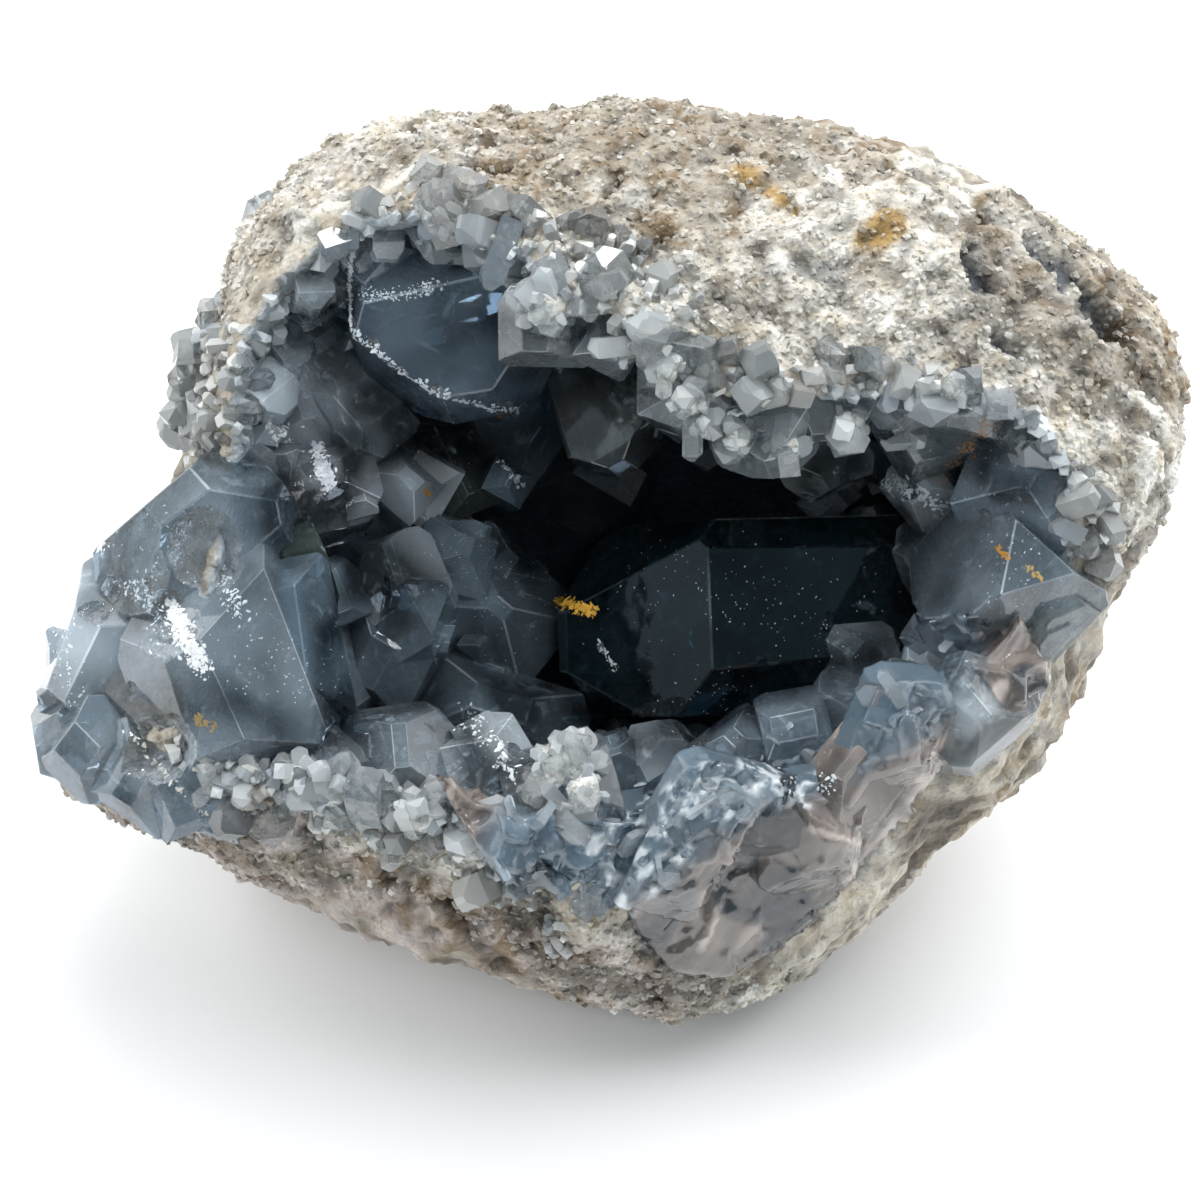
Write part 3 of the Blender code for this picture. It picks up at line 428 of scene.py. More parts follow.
# Crystals that stand out, by where they grow:
# name: (tip u, v, w), (direction), (width, thickness, longest), roll in degrees
crystalBeds = {
    "floor": {"tone": "#a3b7c5", "milk": 0.15, "crystals": {
        "giant": ((-4.5, -8, 5), (-0.93, -0.03, 0.36), (33, 25, 54), 90),
        "floorBroad": ((-13, -4.5, 2), (0.25, 0.15, 0.95), (21, 18, 26), 20),
        "framed": ((-27, -1, 9), (-0.10, 0.30, 0.95), (12, 10, 24), 5),
        "floorDark": ((-29.5, -12, 8), (-0.25, -0.10, 0.96), (13, 13, 24), 40),
        "floorTip": ((-21.5, -10, 10), (0.45, -0.35, 0.82), (12, 11, 22), 30),
        "floorLedge": ((-13.5, -18, 5), (0.10, 0.30, 0.95), (24, 12, 20), 0),
        "tallDark": ((-20, 14.5, -2), (0.30, 0.20, 0.93), (12, 17, 22), 80),
        "backLow": ((-10, 17, -8), (0.20, -0.20, 0.96), (16, 14, 18), 10),
        "backSmall": ((-12, 10.5, -2), (0.30, 0.10, 0.95), (6, 5, 16), 45),
        "backDeep": ((-0.5, 12, -14), (0.10, -0.10, 1.00), (18, 16, 14), 15),
        "spark": ((-23.5, 8.5, 3), (0.00, -0.20, 1.00), (9, 7, 18), 60),
        "midWedge": ((-18, 2.5, 4), (0.35, 0.35, 0.87), (10, 11, 20), 30),
        "greenBlade": ((-40, 3, 20), (0.10, 0.45, 0.89), (17, 8, 32), 125),
        "leftSlip": ((-35, -4, 10), (0.20, 0.20, 0.96), (10, 9, 24), 70),
    }},
    # painted light: this bed's crystals are lighter and milkier than the others, to lift the roof's shade off
    # them
    "leftWall": {"tone": "#c3ced6", "milk": 0.36, "crystals": {
        "wallBroad": ((-29.5, 22, 10), (0.45, 0.25, 0.86), (16, 14, 24), 10),
        "wallUpright": ((-38, 21, 13), (0.25, 0.10, 0.96), (9, 13, 24), 85),
        "wallBright": ((-46, 19, 14), (-0.25, 0.10, 0.96), (11, 10, 24), 25),
        "edgeCube": ((-53, 20, 12), (-0.60, 0.20, 0.77), (8, 8, 18), 30),
        "edgeUpper": ((-49.5, 28, 13), (-0.50, 0.30, 0.80), (11, 9, 18), 50),
        "wallHigh": ((-43.5, 31.5, 12), (0.00, 0.10, 1.00), (11, 11, 18), 20),
        "wallTop": ((-36.5, 36, 10), (0.30, -0.30, 0.90), (13, 13, 20), 30),
        "wallGlint": ((-34, 11, 14), (0.20, 0.20, 0.96), (12, 12, 26), 60),
        "wallStriped": ((-47, 10, 14), (-0.20, 0.30, 0.93), (14, 10, 24), 130),
        "wallEdge": ((-53, 12, 10), (-0.60, 0.00, 0.80), (8, 8, 16), 10),
        "wallLow": ((-44, 5, 10), (0.10, 0.40, 0.90), (11, 9, 22), 40),
        "wallInner": ((-24.5, 11.5, 6), (0.30, 0.20, 0.93), (9, 10, 20), 15),
    }},
    "underRoof": {"tone": "#a6b8c7", "milk": 0.11, "crystals": {
        "brokenBig": ((-18.5, 20, 19), (0.12, -0.88, 0.46), (24, 19, 40), 5),
        "brokenSide": ((-30, 33, 20), (-0.20, -0.60, 0.77), (12, 12, 24), 30),
        "brokenChip": ((-12.5, 19.5, 12), (0.30, -0.75, 0.59), (10, 9, 24), 40),
    }},
    "brow": {"tone": "#ccd3d6", "milk": 0.12, "crystals": {
        "hangingBlade": ((4, 12, 15), (0.30, -0.88, 0.38), (15, 8, 32), 20),
        "browBall": ((-7.5, 27, 33), (-0.10, -0.35, 0.93), (12, 11, 18), 15),
        "browA": ((1.5, 25, 33), (0.10, -0.50, 0.86), (9, 8, 16), 50),
        "browB": ((8, 21, 35), (-0.20, -0.65, 0.73), (9, 9, 18), 100),
        "browC": ((10.5, 15, 33), (0.00, -0.80, 0.60), (10, 9, 20), 45),
        "browD": ((19.5, 11.5, 32), (0.10, -0.80, 0.59), (13, 10, 22), 10),
        "browE": ((28.5, 15, 30), (0.20, -0.75, 0.63), (11, 10, 20), 70),
        "browUnder": ((28, 10, 18), (0.10, -0.60, 0.80), (12, 11, 24), 20),
        "browF": ((35.5, 17.5, 30), (-0.10, -0.65, 0.75), (10, 9, 18), 35),
        "browG": ((39.5, 12.5, 20), (-0.30, -0.50, 0.81), (12, 10, 22), 60),
        "browH": ((44, 17, 28), (-0.20, -0.50, 0.84), (10, 9, 18), 15),
        "browI": ((51, 14, 26), (-0.40, -0.30, 0.87), (11, 10, 20), 10),
    }},
    "rightWall": {"tone": "#b9c7d2", "milk": 0.17, "crystals": {
        "rightBlock": ((48.5, -6, 27), (-0.15, -0.20, 0.97), (17, 23, 34), 85),
        "rightUpper": ((51, 9, 25), (-0.20, 0.10, 0.97), (16, 20, 34), 95),
        "rightBright": ((39, 8, 12), (-0.40, -0.20, 0.89), (10, 9, 22), 15),
        "rightDark": ((41, 1, 10), (-0.40, 0.10, 0.91), (12, 11, 22), 50),
        "rightFan": ((42, -8, 17), (-0.35, 0.45, 0.82), (12, 6, 26), 110),
        "smallCube": ((28, 7, 0), (-0.30, -0.20, 0.93), (5, 5, 18), 10),
        "rightMid": ((33.5, 0.5, 0), (-0.30, -0.10, 0.95), (11, 10, 20), 25),
        "rightDeep": ((34, -6, 0), (-0.40, 0.00, 0.92), (12, 12, 18), 70),
        "rightRound": ((30.5, -11, 11), (-0.25, 0.35, 0.90), (12, 12, 26), 20),
        "rightLow": ((36.5, -17, 19), (-0.20, 0.45, 0.87), (13, 11, 26), 50),
        "rimBlock": ((44, -17, 29), (-0.15, 0.30, 0.94), (13, 13, 26), 15),
    }},
    "sill": {"tone": "#b3c5d3", "milk": 0.11, "crystals": {
        "sillA": ((16, -22, 20), (-0.10, 0.50, 0.86), (11, 10, 24), 30),
        "sillB": ((24, -20.5, 20), (0.00, 0.45, 0.89), (13, 9, 24), 100),
        "sillC": ((30, -18, 17), (-0.10, 0.40, 0.90), (11, 10, 22), 45),
        "sillD": ((11.5, -28, 29), (-0.10, 0.45, 0.89), (13, 10, 22), 20),
        "sillE": ((4.5, -32, 29), (-0.20, 0.40, 0.89), (12, 9, 22), 75),
        "sillF": ((20.5, -29, 30), (0.10, 0.40, 0.91), (13, 10, 22), 10),
        "sillG": ((0.5, -24, 19), (0.10, 0.50, 0.86), (10, 8, 20), 30),
        "sillH": ((31.5, -25, 29), (0.05, 0.35, 0.93), (14, 11, 22), 60),
        "sillI": ((-2, -38, 29), (-0.10, 0.10, 0.99), (12, 10, 20), 10),
        "flakeA": ((14, -38, 34.5), (0.38, -0.50, 0.78), (22, 15, 10), 30),
        "flakeB": ((28, -38, 28), (0.38, -0.50, 0.78), (18, 12, 10), 50),
        "flakeC": ((38, -25, 31), (0.38, -0.50, 0.78), (17, 11, 10), 40),
    }},
    "lowerRim": {"tone": "#c3d0d9", "milk": 0.13, "crystals": {
        "rimHexagon": ((-25.5, -22.5, 28), (-0.05, 0.35, 0.93), (14, 13.5, 28), 0),
        "rimWedge": ((-14.5, -23, 28), (0.15, 0.40, 0.90), (12, 12, 28), 50),
        "rimLump": ((-5.5, -27, 33), (0.00, 0.30, 0.95), (14, 13, 24), 15),
        "rimSmall": ((-34, -25.5, 28), (-0.10, 0.30, 0.95), (9, 8, 20), 30),
    }},
    "leftGroup": {"tone": "#a9bac8", "milk": 0.22, "crystals": {
        "leftUpper": ((-54.5, 7, 25), (-0.30, 0.50, 0.81), (26, 18, 44), 10),
        "leftOuter": ((-66, -12.5, 20), (-0.62, 0.05, 0.78), (20, 27, 38), 65),
        "leftBroken": ((-50.5, -13, 32), (-0.20, -0.10, 0.97), (22, 30, 40), 85),
        "leftInner": ((-40, -12.5, 28), (0.20, 0.10, 0.97), (18, 25, 36), 75),
        "leftGlassy": ((-55, -23, 27), (-0.30, -0.35, 0.89), (15, 18, 30), 60),
        "leftTail": ((-68, -19, 14), (-0.60, -0.30, 0.74), (14, 16, 26), 50),
        "leftFoot": ((-44, -23, 29), (0.00, -0.05, 1.00), (15, 13, 28), 20),
    }},
}
fillPlan = {
    "large": {"count": 70, "width": (7.0, 12.0), "length": (11.0, 16.0), "lean": 0.3},
    "small": {"count": 620, "width": (2.8, 6.5), "length": (6.0, 9.5), "lean": 0.5},
    "levels": (29, 45),  # the highest foot, and how far down they go
    "turnDeg": 222.492,  # from one foot to the next
    "aim": (4.0, -2.0, 34.0),
    "backing": 5.0,  # rock behind each foot
    "above": 3.0,  # and above it, up to the rim
    "deep": "#a3b4c0",
    "high": "#cfd9df",
}
# Crystals that look unlike the others around them: (colour, share of milk)
ownLook = {
    "giant": ("#4f7888", 0.02), "tallDark": ("#8b9694", 0.10), "greenBlade": ("#93a79c", 0.10),
    "edgeCube": ("#e4e6e6", 0.65), "wallEdge": ("#e4e6e6", 0.60), "wallBright": ("#dfe5e8", 0.35),
    "brokenBig": ("#9db3c6", 0.11), "browBall": ("#dfe6e8", 0.10), "hangingBlade": ("#83888a", 0.09),
    "rimHexagon": ("#c3d1da", 0.14), "rimWedge": ("#d9e4ea", 0.28), "framed": ("#c6d2da", 0.24),
    "leftGlassy": ("#8c99a4", 0.05), "leftInner": ("#8ea5b6", 0.15), "leftOuter": ("#b4c3ce", 0.30),
    "leftUpper": ("#9dafbd", 0.18), "leftBroken": ("#a0afbb", 0.16), "leftTail": ("#a8b9c6", 0.24),
    "rightBlock": ("#b9cad6", 0.14), "rightLow": ("#c0ced8", 0.20), "rimBlock": ("#ccd9e1", 0.26),
    "rightUpper": ("#a5b6c3", 0.18), "sillH": ("#a79d97", 0.32), "sillF": ("#a8acb0", 0.22),
    "leftFoot": ("#9fb6c6", 0.20), "rightBright": ("#dbe2e7", 0.30), "wallGlint": ("#e2e9f2", 0.24),
    "backDeep": ("#8495a1", 0.05), "spark": ("#e2e8ec", 0.40),
}


def cutAway(bm, point, normal):
    whole = bm.verts[:] + bm.edges[:] + bm.faces[:]
    cut = bmesh.ops.bisect_plane(bm, geom=whole, plane_co=point, plane_no=normal, clear_outer=True)
    rim = [e for e in cut["geom_cut"] if isinstance(e, bmesh.types.BMEdge)]
    if len(rim) > 2:
        bmesh.ops.contextual_create(bm, geom=rim)


# A block with celestite's own end, dome and side faces, its root at the origin and its tip at +Z
def crystalShape(width, thickness, length, chance):
    bm = bmesh.new()
    bmesh.ops.create_cube(bm, size=1.0)
    for vert in bm.verts:
        vert.co = Vector((vert.co.x * width, vert.co.y * thickness, (vert.co.z + 0.5) * length))
    side, end, dome = (math.radians(habit[k]) for k in ("sideSlope", "endSlope", "domeSlope"))
    faces = []
    for x in (-1, 1):
        reach = length * math.cos(end) + chance.uniform(0.0, 0.12) * width
        faces.append(((x * math.sin(end), 0, math.cos(end)), reach))
    for y in (-1, 1):
        reach = length * math.cos(dome) + chance.uniform(0.0, 0.30) * thickness
        faces.append(((0, y * math.sin(dome), math.cos(dome)), reach))
    for x, y in ((-1, -1), (-1, 1), (1, -1), (1, 1)):
        if width > habit["blockWidth"]:
            keep = chance.uniform(0.35, 0.95)
            reach = width / 2 * math.sin(side) + keep * thickness / 2 * math.cos(side)
            faces.append(((x * math.sin(side), y * math.cos(side), 0), reach))
    for normal, reach in faces:
        wobble = Vector([chance.uniform(-habit["wobble"], habit["wobble"]) for _ in range(3)])
        cutAway(bm, Vector(normal) * reach, Vector(normal) + wobble)
    return bm


def rootLength(tip, axis, width, longest):
    depth = habit["rootDepth"][width > habit["stoutWidth"]]
    hit = seatTree.ray_cast(tip, -axis, longest)
    return max(4.0, min(longest, (hit[3] if hit[0] else longest) + depth))


# Turns a shape of the mouth's frame into an object of a collection, with its colour on its faces. Worn edges
# are painted lighter and milkier than the rest, as their wear and as a painted highlight, and are told apart by
# their material number until then.
def keepShape(bm, name, collection, tone, milk):
    bm.transform(toWorld)
    mesh = bpy.data.meshes.new(name)
    bm.to_mesh(mesh)
    bm.free()
    wornAndLit = np.array([face.material_index * extra.random() ** 2 for face in mesh.polygons])[:, None]
    wornAndLit = wornAndLit * habit["wearAndHighlight"]
    tones = np.c_[np.array(tone) * (1 - wornAndLit) + wornAndLit, np.ones(len(wornAndLit))]
    mesh.attributes.new("tone", "FLOAT_COLOR", "FACE").data.foreach_set("color", tones.ravel())
    milky = milk + wornAndLit * (1 - milk)
    mesh.attributes.new("milk", "FLOAT", "FACE").data.foreach_set("value", milky.ravel())
    mesh.polygons.foreach_set("material_index", [0] * len(wornAndLit))
    obj = bpy.data.objects.new(name, mesh)
    collection.objects.link(obj)
    return obj


# Bevels the sharp edges as wear, and marks the bevels, whose lighter tone is partly a painted highlight
def wearEdges(bm, width):
    edges = [e for e in bm.edges if len(e.link_faces) == 2 and e.calc_face_angle(0) > 0.2]
    wornAndLit = bmesh.ops.bevel(bm, geom=edges, offset=width, segments=1, affect="EDGES", clamp_overlap=True)
    for face in wornAndLit["faces"]:
        face.material_index = 1


def growCrystal(name, tip, direction, size, rollDeg, look, chance, extra, kept=True):
    width, thickness, longest = size
    tip, axis = Vector(tip), Vector(direction).normalized()
    length = rootLength(tip, axis, width, longest)
    turn = Matrix.Translation(tip - axis * length) @ axis.to_track_quat("Z", "Y").to_matrix().to_4x4()
    turn = turn @ Matrix.Rotation(math.radians(rollDeg), 4, "Z")
    wear = min(max(width * 0.009, habit["wear"][0]), habit["wear"][1])
    main = crystalShape(width, thickness, length, chance)
    if not kept:
        main.free()
        return
    wearEdges(main, wear)
    main.transform(turn)
    keepShape(main, name, growing, *look)
    # growth steps: narrower blocks side by side with it, a little lower
    slopes = [math.tan(math.radians(habit[k])) for k in ("endSlope", "domeSlope")]
    for i in range(0 if width < 8 or name == "giant" else extra.randint(2, 4) + int(width / 9)):
        sub = (width * extra.uniform(0.30, 0.62), thickness * extra.uniform(0.35, 0.75))
        x, y = (math.copysign(math.sqrt(extra.random()), extra.uniform(-1, 1)) for _ in range(2))
        proud = max(extra.uniform(-0.2, 0.05) * min(width, 14), -0.3)
        x *= (width - sub[0]) / 2 + proud * (abs(x) > abs(y))
        y *= (thickness - sub[1]) / 2 + proud * (abs(y) >= abs(x))
        lower = (abs(x) * slopes[0] + abs(y) * slopes[1]) * extra.uniform(0.5, 0.9)
        step = crystalShape(*sub, max(length - lower, 3.0), extra)
        wearEdges(step, wear * 0.6)
        step.transform(turn @ Matrix.Translation((x, y, 0)))
        keepShape(step, f"{name}Step{i}", growing, *look)


def crowded(tip, width):
    for bed in crystalBeds.values():
        for other, direction, size, _ in bed["crystals"].values():
            axis = Vector(direction).normalized()
            along = min(max((Vector(other) - tip).dot(axis), 0.0), size[2])
            if (tip - Vector(other) + axis * along).length < 0.42 * size[0] + 0.2 * width:
                return True
    return False


# The hollow's wall at an angle around its middle line and at a level, where there is rock enough behind it
def wallFoot(angleDeg, level):
    outward = Vector((math.cos(math.radians(angleDeg)), math.sin(math.radians(angleDeg)), 0))
    foot = seatTree.ray_cast(Vector((0, 0, level)), outward, 90)[0]
    if foot is None:
        return None
    behind = seatTree.ray_cast(foot + outward * 0.1, outward, 90)
    above = seatTree.ray_cast(foot + outward * 1.5, Vector((0, 0, 1)), 90)
    backed = behind[0] is not None and behind[3] > fillPlan["backing"]
    covered = above[0] is not None and above[3] > fillPlan["above"]
    return foot if backed and covered else None


# The crystals are lighter and milkier towards the rim
def lookAt(level, extra):
    share = min(max((level + 14) / 40, 0), 1)
    deep, high = (np.array(linear(fillPlan[k])) for k in ("deep", "high"))
    tone = (deep * (1 - share) + high * share) * extra.uniform(0.8, 1.1)
    return tuple(tone), (0.12 + 0.22 * share) * extra.uniform(0.5, 1.7)


growing = bpy.data.collections.new("growing")
scene.collection.children.link(growing)
chance, extra = random.Random(7), random.Random(21)
for bed in crystalBeds.values():
    for name, (tip, direction, size, rollDeg) in bed["crystals"].items():
        hexColour, milk = ownLook.get(name, (bed["tone"], bed["milk"]))
        look = (tuple(np.array(linear(hexColour)) * extra.uniform(0.88, 1.1)), milk * extra.uniform(0.7, 1.3))
        growCrystal(name, tip, direction, size, rollDeg, look, chance, extra, not name.startswith("flake"))
for kind in ("large", "small"):
    plan = fillPlan[kind]
    for i in range(plan["count"]):
        level = fillPlan["levels"][0] - fillPlan["levels"][1] * (i + 0.5) / plan["count"]
        foot = wallFoot((i * fillPlan["turnDeg"]) % 360, level)
        if foot is None:
            continue
        leaning = Vector([chance.uniform(-plan["lean"], plan["lean"]) for _ in range(3)])
        direction = (Vector(fillPlan["aim"]) - foot).normalized() + leaning
        width = chance.uniform(*plan["width"])
        size = (width, width * chance.uniform(0.6, 1.0), chance.uniform(*plan["length"]))
        tip = foot + direction.normalized() * (size[2] - 3.0)
        rollDeg = chance.uniform(0, 180)
        if kind == "small" or not crowded(tip, width):
            growCrystal(f"{kind}{i}", tip, direction, size, rollDeg, lookAt(level, extra), chance, extra)
# More at the left, where the crystals reach down over the rock's edge
leftDrops = {
    "tone": "#a3b4c1",
    "tipHeight": 3.6,
    "longest": 16,
    "places": {  # pixel: (width, thickness)
        (72, 722): (13, 12), (98, 752): (13, 11), (140, 772): (14, 12), (182, 792): (12, 10),
        (212, 812): (8, 7),
    },
}
for pixel, (width, thickness) in leftDrops["places"].items():
    eye = Vector((*view["target"][:2], view["away"]))
    spot, normal, _, _ = seatTree.ray_cast(eye, underPixel(*pixel, 0.0) - eye)
    direction = (normal + Vector((0, 0.1, 0.7))).normalized()
    look = (tuple(np.array(linear(leftDrops["tone"])) * extra.uniform(0.8, 1.1)), extra.uniform(0.14, 0.28))
    size = (width, thickness, leftDrops["longest"])
    rollDeg = extra.uniform(0, 180)
    tip = spot + direction * leftDrops["tipHeight"]
    growCrystal(f"leftDrop{pixel[0]}", tip, direction, size, rollDeg, look, extra, extra)


# Joins a collection into one closed solid, or takes another collection's solids out of one
def carved(first, collection, operation, name):
    work = first.modifiers.new("work", "BOOLEAN")
    work.operation = operation
    work.solver = "MANIFOLD"
    work.operand_type = "COLLECTION"
    work.collection = collection
    bpy.context.view_layer.update()
    made = plainMesh(first, name)
    for obj in [first, *collection.objects]:
        bpy.data.objects.remove(obj)
    return made


def ontoStone(tree, pixel):
    eye = toWorld @ Vector((*view["target"][:2], view["away"]))
    way = (toWorld @ underPixel(*pixel, 60.0) - eye).normalized()
    return tree.ray_cast(eye, way)


first = growing.objects[0]
growing.objects.unlink(first)
scene.collection.objects.link(first)
grown = carved(first, growing, "UNION", "grown")
print("grown faces", len(grown.data.polygons))

# Where crystals are chipped, and the cleavage cracks inside them, which are thin gaps that mirror the light
damage = {
    "bites": {  # pixel: radius in mm
        (351, 262): 1.8, (350, 300): 2.1, (352, 330): 1.5, (372, 352): 1.7, (400, 376): 2.0, (436, 398): 1.7,
        (505, 414): 1.5, (187, 640): 2.6, (172, 612): 1.9, (150, 590): 1.7, (130, 700): 1.6, (320, 470): 2.2,
        (912, 496): 1.9, (250, 420): 2.1, (985, 520): 1.2, (600, 652): 1.0, (700, 745): 1.8, (520, 760): 1.7,
        (640, 360): 1.3, (760, 440): 1.2,
    },
    "breaks": {(178, 632): 9.0, (222, 578): 5.5, (150, 735): 7.5, (110, 600): 4.5},
    "chipTone": "#c5d0d8",
    "chipMilk": {"bites": 0.10, "breaks": 0.2},
    "outside": {"bites": 0.62, "breaks": 0.78},  # how much of the radius stands clear of the face
    "grain": (4.5, 0.10),  # splinters to a radius, and their lean
    "crackCount": {"leftGroup": (5, 9), "floor": (1, 3), "sill": (0, 0), "brow": (1, 2)},  # else 2 to 5
    "crackedWidth": 11,  # narrower crystals have none
    "crackRadius": (1.2, 3.6),
    "crackGap": 0.05,
}


# What breaks out of a crystal leaves a shell-shaped hollow with splintered steps and ripples
def chip(radius, extra):
    bm = bmesh.new()
    bmesh.ops.create_icosphere(bm, subdivisions=6 if radius > 4 else 4, radius=radius)
    shift = Vector([extra.uniform(0, 50) for _ in range(3)])
    squash = Vector([extra.uniform(0.8, 1.1) for _ in range(3)])
    count, lean = damage["grain"]
    for vert in bm.verts:
        spot = vert.co / radius
        bulge = 0.35 * noise.noise(spot * 1.3 + shift) + 0.12 * noise.noise(spot * 4 + shift)
        place = noise.voronoi(spot * count + shift)[1][0]
        bulge = 0.15 * bulge + (spot * count + shift - place).dot(noise.noise_vector(place * 3.1)) * lean
        ripple = abs(noise.noise(Vector((spot.x * 9 + spot.y * 9, spot.z * 2.5, 3)) + shift))
        bulge += 0.022 * ripple + 0.01 * noise.noise(spot * 26)
        vert.co = vert.co * squash * (1 + bulge)
    return bm


def crack(radius, gap, extra):
    bm = bmesh.new()
    bmesh.ops.create_circle(bm, cap_ends=True, segments=9, radius=radius)
    shift = extra.uniform(0, 50)
    for vert in bm.verts:
        grown = 1 + 0.5 * noise.noise(Vector((vert.co.x, vert.co.y, shift)) * 0.6)
        vert.co = Vector((vert.co.x * grown, vert.co.y * grown * 0.7, 0))
    top = bmesh.ops.extrude_face_region(bm, geom=bm.faces[:])["geom"]
    for vert in (v for v in top if isinstance(v, bmesh.types.BMVert)):
        vert.co.z += gap
    bmesh.ops.recalc_face_normals(bm, faces=bm.faces)
    return bm


taken = bpy.data.collections.new("taken")
scene.collection.children.link(taken)
chipTone = linear(damage["chipTone"])
grownTree = treeOf(grown.data)
for kind in ("bites", "breaks"):
    for i, (pixel, radius) in enumerate(damage[kind].items()):
        spot, normal, _, _ = ontoStone(grownTree, pixel)
        if spot is None:
            continue
        outward = (toMouth.to_3x3() @ normal).normalized()
        shape = chip(radius, extra)
        shape.transform(Matrix.Translation((toMouth @ spot) + outward * radius * damage["outside"][kind]))
        keepShape(shape, f"{kind}{i}", taken, chipTone, damage["chipMilk"][kind])
for bedName, bed in crystalBeds.items():
    for name, (tip, direction, size, rollDeg) in bed["crystals"].items():
        if size[0] < damage["crackedWidth"] or name.startswith("flake"):
            continue
        axis = Vector(direction).normalized()
        turn = axis.to_track_quat("Z", "Y").to_matrix().to_4x4()
        turn = turn @ Matrix.Rotation(math.radians(rollDeg), 4, "Z")
        for i in range(extra.randint(*damage["crackCount"].get(bedName, (2, 5)))):
            radius = extra.uniform(*damage["crackRadius"]) * min(size[0] / 18, 1.3)
            shape = crack(radius, damage["crackGap"], extra)
            # cracks lie along the base or along a side face
            lie = Matrix.Rotation(extra.choice((0, math.pi / 2)), 4, "X")
            lie = lie @ Matrix.Rotation(extra.uniform(-0.12, 0.12), 4, "Y")
            away = Vector((extra.uniform(-0.22, 0.22) * size[0], extra.uniform(-0.22, 0.22) * size[1], 0))
            place = Vector(tip) - axis * (0.3 * size[0] + extra.uniform(2.5, 0.35 * size[2])) + turn @ away
            shape.transform(Matrix.Translation(place) @ turn @ lie)
            keepShape(shape, f"{name}Crack{i}", taken, chipTone, 0.0)
crystals = carved(grown, taken, "DIFFERENCE", "crystals")
crystals.data.materials.clear()
print("crystal faces", len(crystals.data.polygons))
crystalTree = treeOf(crystals.data)

print("broken vein")
# The solid celestite behind the break at the lower right: blue and splintered near the hollow, brown-grey and
# shelly further out, in a skin of pale rock
veinPlan = {
    "way": (0.32, -0.52, 0.79),
    "depth": (33.5, 60.0),  # along that way
    "around": (26.0, -34.0, 30.0),
    "radius": 36.0,
    "voxel": 0.55,
    "splinter": (5.0, 0.8, 0.25),
    "shell": (14.0, 0.16, 0.02),
    "fine": (1.5, 0.30, 0.08),
    "downWay": (0.62, 0.78, 0.26),  # ripples and scratches run this way
    "rippleSize": (9, 2.6),  # mm along and across it
    "rippleHeight": 0.35,
    "scratch": (7, 0.7),
    "patchy": {"blue": 0.5, "white": 2.2, "pink": 1.6, "dark": 1.2},
    "milk": {"blue": 0.35, "pink": 0.9, "dark": 0.35, "white": 0.85},
}
veinTones = {"blue": "#8fa5b6", "brown": "#8d827b", "pink": "#c3b5ad", "white": "#e3e8ea", "dark": "#4d555d"}
veinStrokes = {
    "blue": [([(560, 860), (640, 800), (720, 750), (830, 700), (900, 660)], 62, 1.0)],
    "white": [
        ([(620, 860), (660, 830), (710, 800)], 26, 1.0),
        ([(600, 910), (635, 885), (670, 850)], 20, 1.0),
        ([(750, 775), (785, 800), (815, 790)], 14, 0.9),
        ([(590, 935), (625, 905)], 14, 0.9),
    ],
    "pink": [
        ([(1000, 690), (930, 780), (860, 880), (800, 1000)], 7, 1.0),
        ([(560, 960), (680, 985), (790, 995)], 12, 0.9),
        ([(735, 880), (700, 950)], 3, 0.8),
        ([(800, 830), (880, 850)], 3, 0.6),
    ],
    "dark": [
        ([(745, 895), (790, 900), (800, 950)], 22, 0.9),
        ([(530, 900), (550, 940)], 22, 0.8),
        ([(680, 900), (655, 935)], 14, 0.7),
        ([(780, 950), (800, 975)], 13, 0.8),
        ([(1025, 680), (1040, 700)], 12, 0.8),
    ],
}


def takeVein():
    lining = mergedCopy(frame["nodes"]["crystal_lining"], "lining")
    way = Vector(veinPlan["way"]).normalized()
    bm = bmesh.new()
    bmesh.ops.create_cube(bm, size=1.0)
    low, high = veinPlan["depth"]
    around = Vector(veinPlan["around"])
    middle = around + way * ((low + high) / 2 - around.dot(way))
    turn = way.to_track_quat("Z", "Y").to_matrix().to_4x4()
    stretch = Matrix.Diagonal((2 * veinPlan["radius"], 2 * veinPlan["radius"], high - low, 1))
    bm.transform(toWorld @ Matrix.Translation(middle) @ turn @ stretch)
    mesh = bpy.data.meshes.new("slab")
    bm.to_mesh(mesh)
    bm.free()
    slabs = bpy.data.collections.new("slabs")
    scene.collection.children.link(slabs)
    slabs.objects.link(bpy.data.objects.new("slab", mesh))
    part = carved(lining, slabs, "INTERSECT", "part")
    made = remeshed(part, "brokenVein", veinPlan["voxel"])
    bpy.data.objects.remove(part)
    return made


